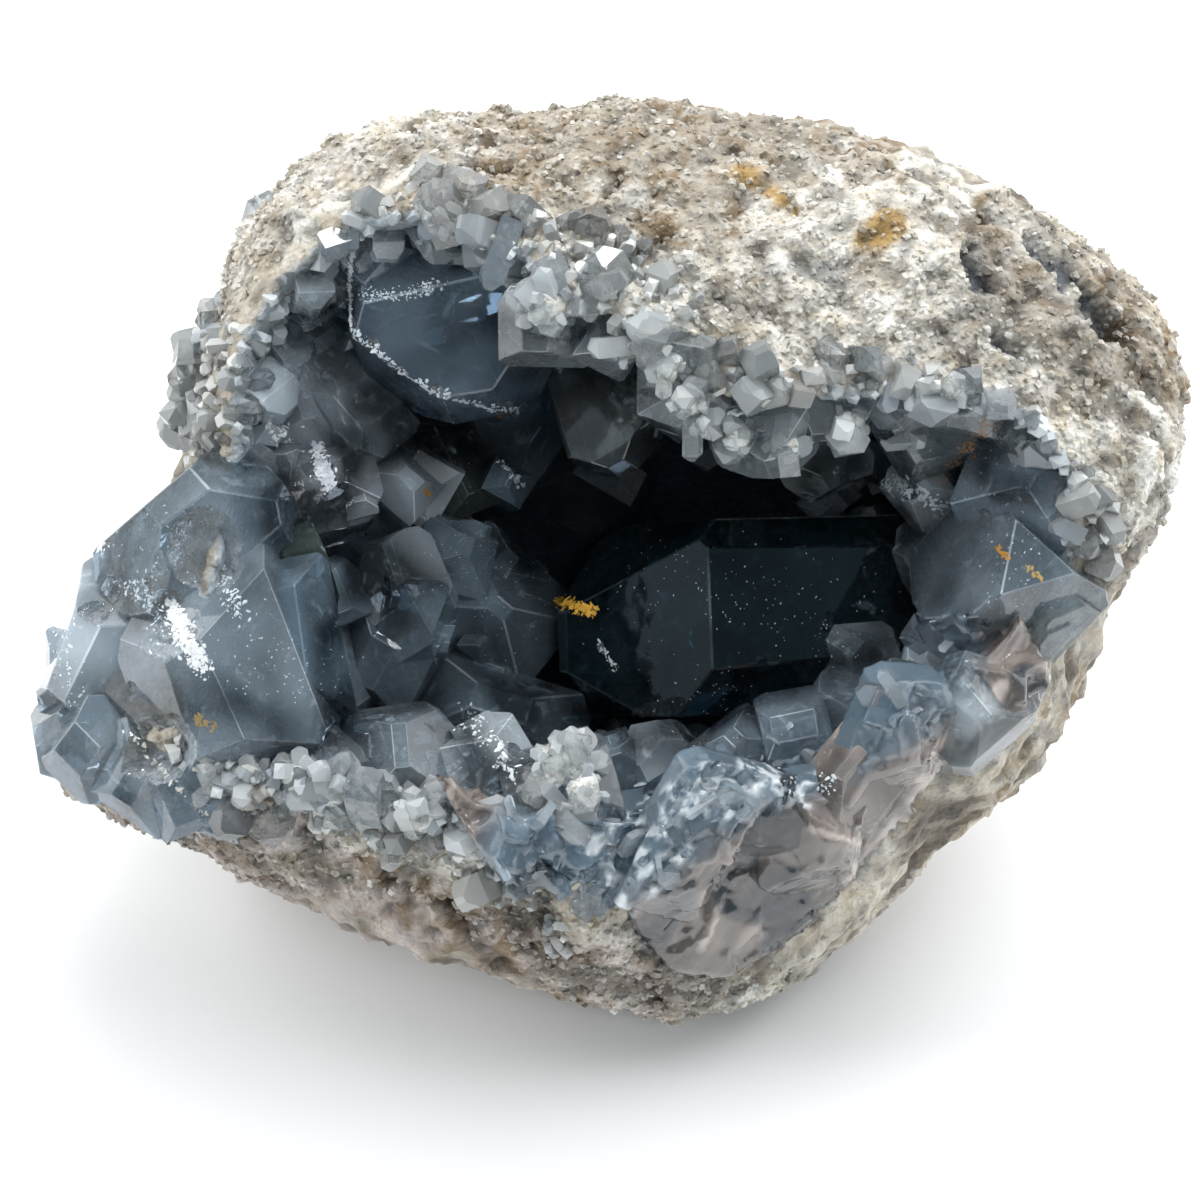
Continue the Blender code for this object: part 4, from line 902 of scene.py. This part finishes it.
def dressVein(obj):
    spots, normals = spotsOf(obj.data)
    pixels = pixelOf(spots)
    way = np.array(veinPlan["way"]) / np.linalg.norm(veinPlan["way"])
    front = np.clip((normals @ way - 0.1) * 2.5, 0, 1)
    patchy = noisy(spots, 5.0, 7.0, 2)
    amounts = {}
    for kind, strokes in veinStrokes.items():
        share = strokesShare(pixels, strokes) * (1 + veinPlan["patchy"][kind] * patchy)
        amounts[kind] = np.clip(share, 0, 1)
    amounts["white"] *= np.clip(0.1 + 3.0 * noisy(spots, 1.7, 4.0, 2), 0, 1)
    blue = amounts["blue"]
    heights = grainy(spots, *veinPlan["splinter"]) * (0.25 + 0.75 * blue)
    heights = heights + grainy(spots, *veinPlan["shell"]) * (1 - 0.6 * blue)
    # shell-shaped ripples
    along = spots @ np.array(veinPlan["downWay"])
    across = spots @ np.cross(way, veinPlan["downWay"])
    long, wide = veinPlan["rippleSize"]
    ripples = np.abs(noisy(np.c_[along / long, across / wide, along * 0], 1.0, 3.0))
    rough = 0.1 + 0.9 * np.maximum(amounts["white"], 0.7 * amounts["pink"])
    heights += grainy(spots, *veinPlan["fine"]) * rough
    heights += (ripples - 0.2) * veinPlan["rippleHeight"] * (1 - 0.7 * blue) - 0.3
    moveTo(obj.data, spots + normals * (heights * front)[:, None])
    long, wide = veinPlan["scratch"]
    scratched = noisy(np.c_[across / wide, along / long, along * 0], 1.0, 8.0)
    tone = np.tile(np.array(linear(veinTones["brown"])), (len(spots), 1))
    tone = tone * (1 + 0.35 * patchy + 0.25 * scratched)[:, None]
    milk = 0.62 + 0.2 * patchy
    for kind, cloudy in veinPlan["milk"].items():
        share = amounts[kind]
        tone = tone * (1 - share[:, None]) + np.array(linear(veinTones[kind])) * share[:, None]
        milk = milk * (1 - share) + cloudy * share
    keepColours(obj.data, tone, milk=milk, splinters=blue * front * (1 - amounts["pink"]))
    obj.data.shade_smooth()


brokenVein = takeVein()
print("vein faces", len(brokenVein.data.polygons))
dressVein(brokenVein)

print("lumps")
# Balls and cushions of small clear crystals on the lip and the brow: pixel: radius in mm
lumpPlan = {
    (562, 765): 5.6, (548, 815): 3.6, (585, 790): 3.4, (330, 800): 3.2, (290, 790): 2.8, (420, 812): 3.4,
    (245, 785): 3.0, (390, 835): 2.8, (470, 835): 3.0, (215, 790): 2.6, (500, 870): 2.4, (545, 315): 3.8,
    (628, 350): 2.6, (652, 330): 2.4, (690, 400): 2.8, (735, 440): 2.4, (700, 430): 2.2, (790, 455): 2.4,
    (850, 430): 2.6, (665, 380): 2.2, (600, 290): 2.4, (905, 440): 2.2,
}


def makeLumps():
    bm = bmesh.new()
    trees = (crystalTree, treeOf(rockSkin.data))
    for pixel, radius in lumpPlan.items():
        hits = [hit for hit in (ontoStone(tree, pixel) for tree in trees) if hit[0] is not None]
        spot, normal, _, _ = min(hits, key=lambda hit: hit[3])
        made = bmesh.ops.create_icosphere(bm, subdivisions=3, radius=radius * 0.72 * mm)["verts"]
        for vert in made:
            vert.co *= 1 + 0.3 * noise.noise(vert.co / mm / 3 + spot / mm)
            vert.co += spot - normal * radius * 0.35 * mm
    mesh = bpy.data.meshes.new("lumps")
    bm.to_mesh(mesh)
    bm.free()
    obj = bpy.data.objects.new("lumps", mesh)
    scene.collection.objects.link(obj)
    count = len(mesh.vertices)
    keepColours(mesh, np.tile(np.array(linear("#e6e6e2")), (count, 1)), druse=np.ones(count))
    mesh.shade_smooth()
    return obj


lumps = makeLumps()

print("druse and grains")


# Strews small crystals over a surface, where its share attribute lets them grow
def strewTree():
    tree = bpy.data.node_groups.new("strewn crystals", "GeometryNodeTree")
    sockets = {
        "Surface": "Geometry", "Kinds": "Collection", "Where": "String", "Spacing": "Float",
        "Smallest": "Float", "Largest": "Float", "Lean": "Float", "Darkest": "Color", "Lightest": "Color",
        "Surface Colour": "Float", "Clearest": "Float", "Milkiest": "Float", "Seed": "Int",
        "Finish": "Material",
    }
    for label, kind in sockets.items():
        tree.interface.new_socket(label, in_out="INPUT", socket_type="NodeSocket" + kind)
    tree.interface.new_socket("Strewn", in_out="OUTPUT", socket_type="NodeSocketGeometry")
    given = addNode(tree, "NodeGroupInput").outputs
    where = addNode(tree, "GeometryNodeInputNamedAttribute", {"data_type": "FLOAT"}, Name=given["Where"])
    thickest = maths(tree, "DIVIDE", 1.6, maths(tree, "MULTIPLY", given["Spacing"], given["Spacing"]))
    points = addNode(
        tree, "GeometryNodeDistributePointsOnFaces", {"distribute_method": "POISSON"}, Mesh=given["Surface"],
        Distance_Min=given["Spacing"], Density_Max=thickest, Density_Factor=where.outputs["Attribute"],
        Seed=given["Seed"],
    ).outputs

    def chanceOf(kind, low, high, salt):
        first = {"FLOAT_VECTOR": 0, "FLOAT": 2, "INT": 4}[kind]
        links = {f"i{first}": low, f"i{first + 1}": high}
        links["Seed"] = maths(tree, "ADD", given["Seed"], float(salt))
        return addNode(tree, "FunctionNodeRandomValue", {"data_type": kind}, **links).outputs[first // 2]

    lean = addNode(tree, "ShaderNodeCombineXYZ", X=given["Lean"], Y=given["Lean"], Z=6.28).outputs[0]
    back = addNode(tree, "ShaderNodeVectorMath", {"operation": "SCALE"}, i0=lean, Scale=-1.0).outputs[0]
    leaning = chanceOf("FLOAT_VECTOR", back, lean, 1)
    tilt = addNode(tree, "FunctionNodeEulerToRotation", Euler=leaning).outputs[0]
    local = {"rotation_space": "LOCAL"}
    turned = addNode(tree, "FunctionNodeRotateRotation", local, Rotation=points["Rotation"], Rotate_By=tilt)
    size = chanceOf("FLOAT", 0.0, 1.0, 2)
    size = maths(tree, "POWER", size, 2.0)
    size = addNode(tree, "ShaderNodeMapRange", i0=size, i3=given["Smallest"], i4=given["Largest"]).outputs[0]
    apart = {"Separate Children": True, "Reset Children": True}
    kinds = addNode(tree, "GeometryNodeCollectionInfo", apart, Collection=given["Kinds"])
    strewn = addNode(
        tree, "GeometryNodeInstanceOnPoints", {"Pick Instance": True}, Points=points["Points"],
        Instance=kinds.outputs[0], Instance_Index=chanceOf("INT", 0, 4, 3), Rotation=turned.outputs[0],
        Scale=size,
    ).outputs[0]
    toneBelow = addNode(tree, "GeometryNodeInputNamedAttribute", {"data_type": "FLOAT_COLOR", "Name": "tone"})
    own = mixed(tree, chanceOf("FLOAT", 0.0, 1.0, 4), given["Darkest"], given["Lightest"])
    share = maths(tree, "MULTIPLY", given["Surface Colour"], chanceOf("FLOAT", 0.6, 1.3, 6), True)
    tone = mixed(tree, share, own, toneBelow.outputs["Attribute"])
    milk = chanceOf("FLOAT", given["Clearest"], given["Milkiest"], 5)
    for name, kind, value in (("tone", "FLOAT_COLOR", tone), ("milk", "FLOAT", milk)):
        kept = {"data_type": kind, "domain": "INSTANCE", "Name": name}
        strewn = addNode(tree, "GeometryNodeStoreNamedAttribute", kept, Geometry=strewn, Value=value).outputs[0]
    whole = addNode(tree, "GeometryNodeRealizeInstances", Geometry=strewn).outputs[0]
    done = addNode(tree, "GeometryNodeSetMaterial", Geometry=whole, Material=given["Finish"]).outputs[0]
    tree.links.new(done, addNode(tree, "NodeGroupOutput").inputs[0])
    return tree


def makeKinds(name, shapes, extra):
    kinds = bpy.data.collections.new(name)
    scene.collection.children.link(kinds)
    for i, (width, thickness, length, corners) in enumerate(shapes):
        bm = crystalShape(width, thickness, length, extra)
        for _ in range(corners):
            way = Vector([extra.uniform(-1, 1) for _ in range(3)]).normalized()
            cutAway(bm, Vector((0, 0, length / 2)) + way * 0.52 * length, way)
        for vert in bm.verts:
            vert.co.z -= 0.45 * length
        bmesh.ops.triangulate(bm, faces=bm.faces)
        mesh = bpy.data.meshes.new(f"{name}{i}")
        bm.to_mesh(mesh)
        bm.free()
        kinds.objects.link(bpy.data.objects.new(f"{name}{i}", mesh))
    return kinds


# Sizes are in mm
strewn = {
    "rimDruse": {
        "On": "rockSkin", "Kinds": "prisms", "Where": "druse", "Seed": 3,
        "Spacing": 2.2, "Smallest": 1.6, "Largest": 5.2, "Lean": 0.7, "Clearest": 0.10, "Milkiest": 0.5,
        "Darkest": "#aab5bc", "Lightest": "#e6eaeb", "Surface Colour": 0.4,
    },
    "rimSpecks": {
        "On": "rockSkin", "Kinds": "prisms", "Where": "druse", "Seed": 4,
        "Spacing": 1.4, "Smallest": 1.0, "Largest": 2.2, "Lean": 0.8, "Clearest": 0.8, "Milkiest": 1.0,
        "Darkest": "#a9b0b3", "Lightest": "#e6e8e6", "Surface Colour": 0.45,
    },
    "lumpDruse": {
        "On": "lumps", "Kinds": "prisms", "Where": "druse", "Seed": 6,
        "Spacing": 1.5, "Smallest": 1.3, "Largest": 3.8, "Lean": 0.6, "Clearest": 0.12, "Milkiest": 0.6,
        "Darkest": "#d0d7da", "Lightest": "#f6f8f8", "Surface Colour": 0.0,
    },
    "splinters": {
        "On": "brokenVein", "Kinds": "blades", "Where": "splinters", "Seed": 8,
        "Spacing": 2.1, "Smallest": 1.1, "Largest": 3.4, "Lean": 1.2, "Clearest": 0.0, "Milkiest": 0.35,
        "Darkest": "#b4c6d2", "Lightest": "#e6edf1", "Surface Colour": 0.2,
    },
    "sugarGrains": {
        "On": "rockSkin", "Kinds": "grains", "Where": "sugar", "Seed": 5,
        "Spacing": 0.95, "Smallest": 0.45, "Largest": 1.25, "Lean": 1.2, "Clearest": 0.9, "Milkiest": 1.0,
        "Darkest": "#cfcbc2", "Lightest": "#fbfaf6", "Surface Colour": 0.75,
    },
}
# (width, thickness, length, broken corners), as shares of each one's size
kindShapes = {
    "prisms": [
        (0.9, 0.75, 1.7, 0), (1.0, 0.7, 1.3, 1), (0.8, 0.8, 1.5, 2), (1.1, 0.9, 1.2, 1), (0.7, 0.6, 1.9, 0),
    ],
    "blades": [
        (0.9, 0.3, 1.6, 1), (0.6, 0.25, 1.9, 1), (1.1, 0.35, 1.2, 2), (0.7, 0.4, 1.4, 1), (0.5, 0.3, 1.8, 0),
    ],
    "grains": [
        (0.9, 0.8, 1.0, 2), (1.0, 0.7, 0.9, 1), (0.8, 0.8, 1.1, 2), (1.1, 0.6, 0.8, 1), (0.8, 0.6, 1.2, 1),
    ],
}
collections = {name: makeKinds(name, shapes, extra) for name, shapes in kindShapes.items()}


# Celestite: strontium sulphate, clear with a breath of blue-grey. Its flat faces mirror the light like glass,
# and it takes up light slowly, so thin pieces look clear and deep ones navy.
def celestiteFinish():
    mat, tree, shader = newMaterial("celestite")
    spot = addNode(tree, "ShaderNodeTexCoord").outputs["Object"]
    # cloudy patches 13 mm wide and thin veils, both of fluid bubbles too small to see
    cloud = ramp(tree, noiseOf(tree, spot, 13, 1, 0.6, 0.4), [(0.36, 0.2), (0.68, 2.0)])
    veil = ramp(tree, noiseOf(tree, spot, 5, 3, 0.72, 2.4), [(0.54, 0.0), (0.62, 0.16), (0.70, 0.6)])
    milk = attribute(tree, "milk")
    veiled = maths(tree, "MULTIPLY", veil, maths(tree, "ADD", milk, 0.12))
    body = maths(tree, "ADD", maths(tree, "MULTIPLY", milk, cloud), veiled, True)
    tree.links.new(attribute(tree, "tone", "Color"), shader.inputs["Base Color"])
    tree.links.new(maths(tree, "SUBTRACT", 1.0, body, True), shader.inputs["Transmission Weight"])
    shader.inputs["Roughness"].default_value = 0.035
    shader.inputs["IOR"].default_value = 1.62
    # growth steps 5 mm wide, and finer ones between them
    steps = noiseOf(tree, spot, 5, 2, 0.3, 0.3)
    bump = addNode(tree, "ShaderNodeBump", {"Strength": 0.22, "Distance": 0.0006}, Height=steps)
    tree.links.new(bump.outputs["Normal"], shader.inputs["Normal"])
    soak = addNode(tree, "ShaderNodeVolumeAbsorption", {"Color": (*linear("#98aaba"), 1), "Density": 38})
    tree.links.new(soak.outputs[0], tree.nodes["Material Output"].inputs["Volume"])
    return mat


# The same mineral in pieces a few mm thick, which take up no light: clear, or as milky as each one's own share
def thinFinish(name, roughness, shine=0.0):
    mat, tree, shader = newMaterial(name)
    tree.links.new(attribute(tree, "tone", "Color"), shader.inputs["Base Color"])
    clear = maths(tree, "SUBTRACT", 1.0, attribute(tree, "milk"), True)
    tree.links.new(clear, shader.inputs["Transmission Weight"])
    shader.inputs["Roughness"].default_value = roughness
    shader.inputs["IOR"].default_value = 1.62
    shader.inputs["Coat Weight"].default_value = shine
    shader.inputs["Coat Roughness"].default_value = 0.08
    return mat


# Granular celestite and limestone: sugary, so it is matt, with single grains that glint
def sugaryFinish():
    mat, tree, shader = newMaterial("sugary rock")
    spot = addNode(tree, "ShaderNodeTexCoord").outputs["Object"]
    grain = addNode(tree, "ShaderNodeTexVoronoi", {"Scale": 1000 / 0.8}, Vector=spot)
    # grains are 0.3 mm wide in the stone, and drawn 0.8 mm wide so that they show
    speck = ramp(tree, grain.outputs["Color"], [(0.1, 0.8), (0.55, 1.0), (0.95, 1.0)])
    stain = ramp(tree, noiseOf(tree, spot, 3.4, 6, 0.68, 0.5), [(0.44, 0.0), (0.66, 0.6)])
    colour = mixed(tree, stain, attribute(tree, "tone", "Color"), "#c9b795", "MULTIPLY")
    pit = noiseOf(tree, spot, 1.9, 5, 0.72, 0.4)
    colour = mixed(tree, 1.0, colour, speck, "MULTIPLY")
    # painted shade: the low parts of the pits' bump are darker
    colour = mixed(tree, 0.8, colour, ramp(tree, pit, [(0.33, 0.3), (0.43, 1.0)]), "MULTIPLY")
    tree.links.new(colour, shader.inputs["Base Color"])
    glints = ramp(tree, noiseOf(tree, spot, 2.5, 3), [(0.38, 0.35), (0.6, 0.85)])
    tree.links.new(glints, shader.inputs["Roughness"])
    shader.inputs["IOR"].default_value = 1.6
    height = maths(tree, "ADD", maths(tree, "MULTIPLY", grain.outputs["Distance"], 0.5), pit)
    bump = addNode(tree, "ShaderNodeBump", {"Strength": 0.8, "Distance": 0.0009}, Height=height)
    tree.links.new(bump.outputs["Normal"], shader.inputs["Normal"])
    return mat


# Bruises, chipped edges, dust and ochre stains on the crystals, with painted glints and a painted gold
# reflection, all as flakes on their faces:
# (path in pixels, half width, how many, size in mm, colour)
fleckPlan = [
    # whitened broken faces of the left group, with a painted reflection on them
    ([(172, 612), (182, 640), (204, 672)], 10, 620, 0.6, "#eef0f1"),
    ([(128, 590), (150, 600), (165, 640)], 15, 150, 0.4, "#b9c4cc"),
    ([(215, 570), (228, 596), (238, 620)], 11, 120, 0.4, "#c3cdd4"),
    ([(135, 745), (165, 780), (205, 822)], 3, 60, 0.5, "#c9c7c0"),
    ([(352, 252), (349, 285), (350, 332)], 2, 170, 0.5, "#eff2f4"),
    ([(372, 236), (420, 214), (455, 200)], 4, 40, 0.3, "#d9dee2"),
    ([(350, 336), (372, 353), (400, 377), (432, 397), (480, 411), (520, 418)], 4, 230, 0.5, "#d0d7dc"),
    ([(360, 300), (400, 302), (440, 290)], 8, 170, 0.22, "#d0d6da"),
    # painted glints: white flecks where faces catch the light
    ([(316, 452), (322, 472), (330, 492)], 8, 380, 0.55, "#f1f4fb"),
    ([(232, 392), (258, 420), (288, 446)], 15, 110, 0.6, "#dfe3e4"),
    ([(500, 465), (512, 480), (524, 494)], 6, 40, 0.5, "#e4e9ec"),
    ([(880, 485), (912, 498), (942, 515)], 11, 130, 0.6, "#e6eaec"),
    # painted reflection: a warm lamp seen gold in the giant crystal, with darker streaks in it
    ([(556, 605), (574, 610), (592, 617)], 6, 260, 0.5, "#ecb440"),
    ([(560, 604), (590, 618)], 9, 50, 0.3, "#8a5a1e"),
    ([(596, 645), (606, 660), (618, 678)], 3, 50, 0.35, "#b9bdbe"),
    ([(424, 494), (429, 501)], 2.5, 22, 0.45, "#c98a2c"),
    ([(194, 724), (214, 732)], 5, 45, 0.5, "#8f7a52"),
    ([(996, 551), (1007, 564)], 4, 30, 0.5, "#b9853a"),
    ([(1027, 571), (1039, 584)], 4, 26, 0.45, "#a8894a"),
    ([(945, 480), (972, 448), (996, 415)], 9, 200, 0.3, "#b57f4b"),
    ([(1000, 660), (1016, 690)], 7, 60, 0.6, "#7d694c"),
    ([(620, 560), (740, 600), (860, 640)], 62, 170, 0.10, "#b4bdc3"),
    ([(640, 720), (760, 700)], 45, 70, 0.10, "#b4bdc3"),
    ([(400, 480), (470, 560), (520, 640)], 60, 130, 0.10, "#b4bdc3"),
    ([(230, 640), (330, 690)], 45, 90, 0.14, "#c3cbd0"),
    ([(90, 540), (170, 520)], 30, 60, 0.16, "#c3cbd0"),
    ([(970, 460), (1020, 560), (1020, 640)], 34, 120, 0.16, "#c3cbd0"),
    ([(60, 620), (70, 700)], 16, 80, 0.3, "#dfe3e5"),
    ([(88, 540), (102, 556)], 8, 60, 0.6, "#e9ecec"),
    ([(460, 715), (490, 750), (515, 780)], 12, 110, 0.5, "#e3e8ea"),
    ([(640, 820), (690, 860), (720, 840)], 18, 110, 0.5, "#dfe5e8"),
    ([(750, 775), (800, 800), (830, 790)], 14, 110, 0.5, "#dfe5e8"),
]


def makeFlecks(extra):
    bm = bmesh.new()
    bmesh.ops.create_icosphere(bm, subdivisions=1, radius=1)
    ball = np.array([v.co for v in bm.verts])
    ballFaces = np.array([[v.index for v in f.verts] for f in bm.faces])
    bm.free()
    points, tones = [], []
    for path, half, count, size, hexColour in fleckPlan:
        for _ in range(count):
            start, end = extra.choice(list(zip(path, path[1:])))
            along = extra.random()
            pixel = [p + (q - p) * along + extra.gauss(0, 0.5) * half for p, q in zip(start, end)]
            spot, normal, _, _ = ontoStone(crystalTree, pixel)
            if spot is None:
                continue
            across = size * 0.5 * extra.random() ** 1.5 + 0.05
            longer = extra.uniform(1.0, 2.4)
            jagged = ball * np.array([extra.uniform(0.65, 1.2) for _ in ball])[:, None]
            jagged = jagged * (across * longer, across, across * 0.35)
            turn = normal.to_track_quat("Z", "Y").to_matrix()
            turn = turn @ Matrix.Rotation(extra.uniform(0, 3.14), 3, "Z")
            points.append(jagged @ np.array(turn).T * mm + np.array(spot))
            tones.append(np.tile(np.array(linear(hexColour)) * extra.uniform(0.75, 1.05), (len(ball), 1)))
    mesh = bpy.data.meshes.new("flecks")
    faces = np.concatenate([ballFaces + len(ball) * i for i in range(len(points))])
    mesh.from_pydata(np.concatenate(points), [], faces.tolist())
    obj = bpy.data.objects.new("flecks", mesh)
    scene.collection.objects.link(obj)
    keepColours(mesh, np.concatenate(tones), milk=np.full(len(mesh.vertices), 0.92))
    return obj


flecks = makeFlecks(extra)
print("flecks", len(flecks.data.polygons))
sugary = sugaryFinish()
celestite = celestiteFinish()
drusy = thinFinish("drusy celestite", 0.06)
brokenCelestite = thinFinish("broken celestite", 0.22, 0.6)
bruisedAndGlinting = thinFinish("bruised celestite", 0.4)
rockSkin.data.materials.clear()
rockSkin.data.materials.append(sugary)
crystals.data.materials.append(celestite)
flecks.data.materials.append(bruisedAndGlinting)
brokenVein.data.materials.clear()
brokenVein.data.materials.append(brokenCelestite)

tree = strewTree()
lumps.data.materials.append(sugary)
surfaces = {"rockSkin": rockSkin, "lumps": lumps, "brokenVein": brokenVein}
strewnPieces = []
for name, plan in strewn.items():
    finish = sugary if plan["Kinds"] == "grains" else drusy
    values = dict(plan, Kinds=collections[plan["Kinds"]], Finish=finish)
    surface = surfaces[plan["On"]]
    strew = surface.modifiers.new(name, "NODES")
    strew.node_group = tree
    for item in tree.interface.items_tree:
        if item.in_out == "INPUT" and item.name in values:
            value = values[item.name]
            if item.name in ("Darkest", "Lightest"):
                value = (*linear(value), 1)
            elif item.name in ("Spacing", "Smallest", "Largest"):
                value = value * mm
            strew[item.identifier] = value
    piece = plainMesh(surface, name)
    surface.modifiers.remove(strew)
    strewnPieces.append(piece)
    print(name, len(piece.data.polygons))
for kinds in collections.values():
    for obj in list(kinds.objects):
        bpy.data.objects.remove(obj)
    bpy.data.collections.remove(kinds)

for piece, node, slot in ((rockSkin, "rock_rind", "matrix_rock"), (crystals, "crystal_lining", "celestite")):
    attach(piece, "root")
    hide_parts(node)
for piece in (brokenVein, lumps, flecks, *strewnPieces):
    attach(piece, "root")

print("studio")
studio = {
    "floor": "#f4f4f4",
    # the room is bright behind the stone and dim where the mouth looks: (share of the mouth's way, colour)
    "sky": [(0.12, "#ffffff"), (0.36, "#7c8d98"), (0.62, "#506671"), (0.95, "#2a373f")],
    "skyPower": 1.65,
    "boxes": {  # place, size and power of the soft lights, and whether the faces mirror them
        "key": ((0.28, 0.12, 0.75), (0.9, 0.9), 8.2, False),
        "glint": ((0.10, 0.25, 0.80), (0.12, 0.12), 0.9, True),
        "strip": ((-0.55, -0.10, 0.45), (0.3, 0.5), 3.0, False),
        "window": ((0.15, -0.55, 0.55), (0.2, 0.2), 0.8, False),
    },
}
bpy.ops.mesh.primitive_plane_add(size=6)
floor = bpy.context.object
floor.name = "floor"
paper, paperTree, shader = newMaterial("white card")
shader.inputs["Base Color"].default_value = (*linear(studio["floor"]), 1)
shader.inputs["Roughness"].default_value = 0.9
floor.data.materials.append(paper)

camera = bpy.data.objects.new("camera", bpy.data.cameras.new("camera"))
scene.collection.objects.link(camera)
rise = math.radians(mouth["riseDeg"])
way = Vector((0, -math.cos(rise), math.sin(rise)))
camera.location = toWorld @ Vector(view["target"]) + way * view["away"] * mm
camera.rotation_euler = (-way).to_track_quat("-Z", "Y").to_euler()
camera.data.sensor_width = 36
camera.data.lens = 36 * view["away"] / (1200 * view["pixel"])
camera.data.clip_start = 0.01
scene.camera = camera

world = bpy.data.worlds.new("studio")
world.use_nodes = True
skyTree = world.node_tree
heading = addNode(skyTree, "ShaderNodeTexCoord").outputs["Generated"]
facing = addNode(skyTree, "ShaderNodeVectorMath", {"operation": "DOT_PRODUCT"}, i0=heading, i1=tuple(way))
dusk = ramp(skyTree, facing.outputs["Value"], studio["sky"])
skyTree.links.new(dusk, skyTree.nodes["Background"].inputs["Color"])
skyTree.nodes["Background"].inputs["Strength"].default_value = studio["skyPower"]
scene.world = world
for name, (place, size, power, mirrored) in studio["boxes"].items():
    light = bpy.data.objects.new(name, bpy.data.lights.new(name, "AREA"))
    light.data.shape = "RECTANGLE"
    light.data.size, light.data.size_y = size
    light.data.energy = power
    light.visible_glossy = mirrored
    light.location = place
    light.rotation_euler = (Vector((0, 0, 0.05)) - Vector(place)).to_track_quat("-Z", "Y").to_euler()
    scene.collection.objects.link(light)
scene.view_settings.view_transform = "Standard"
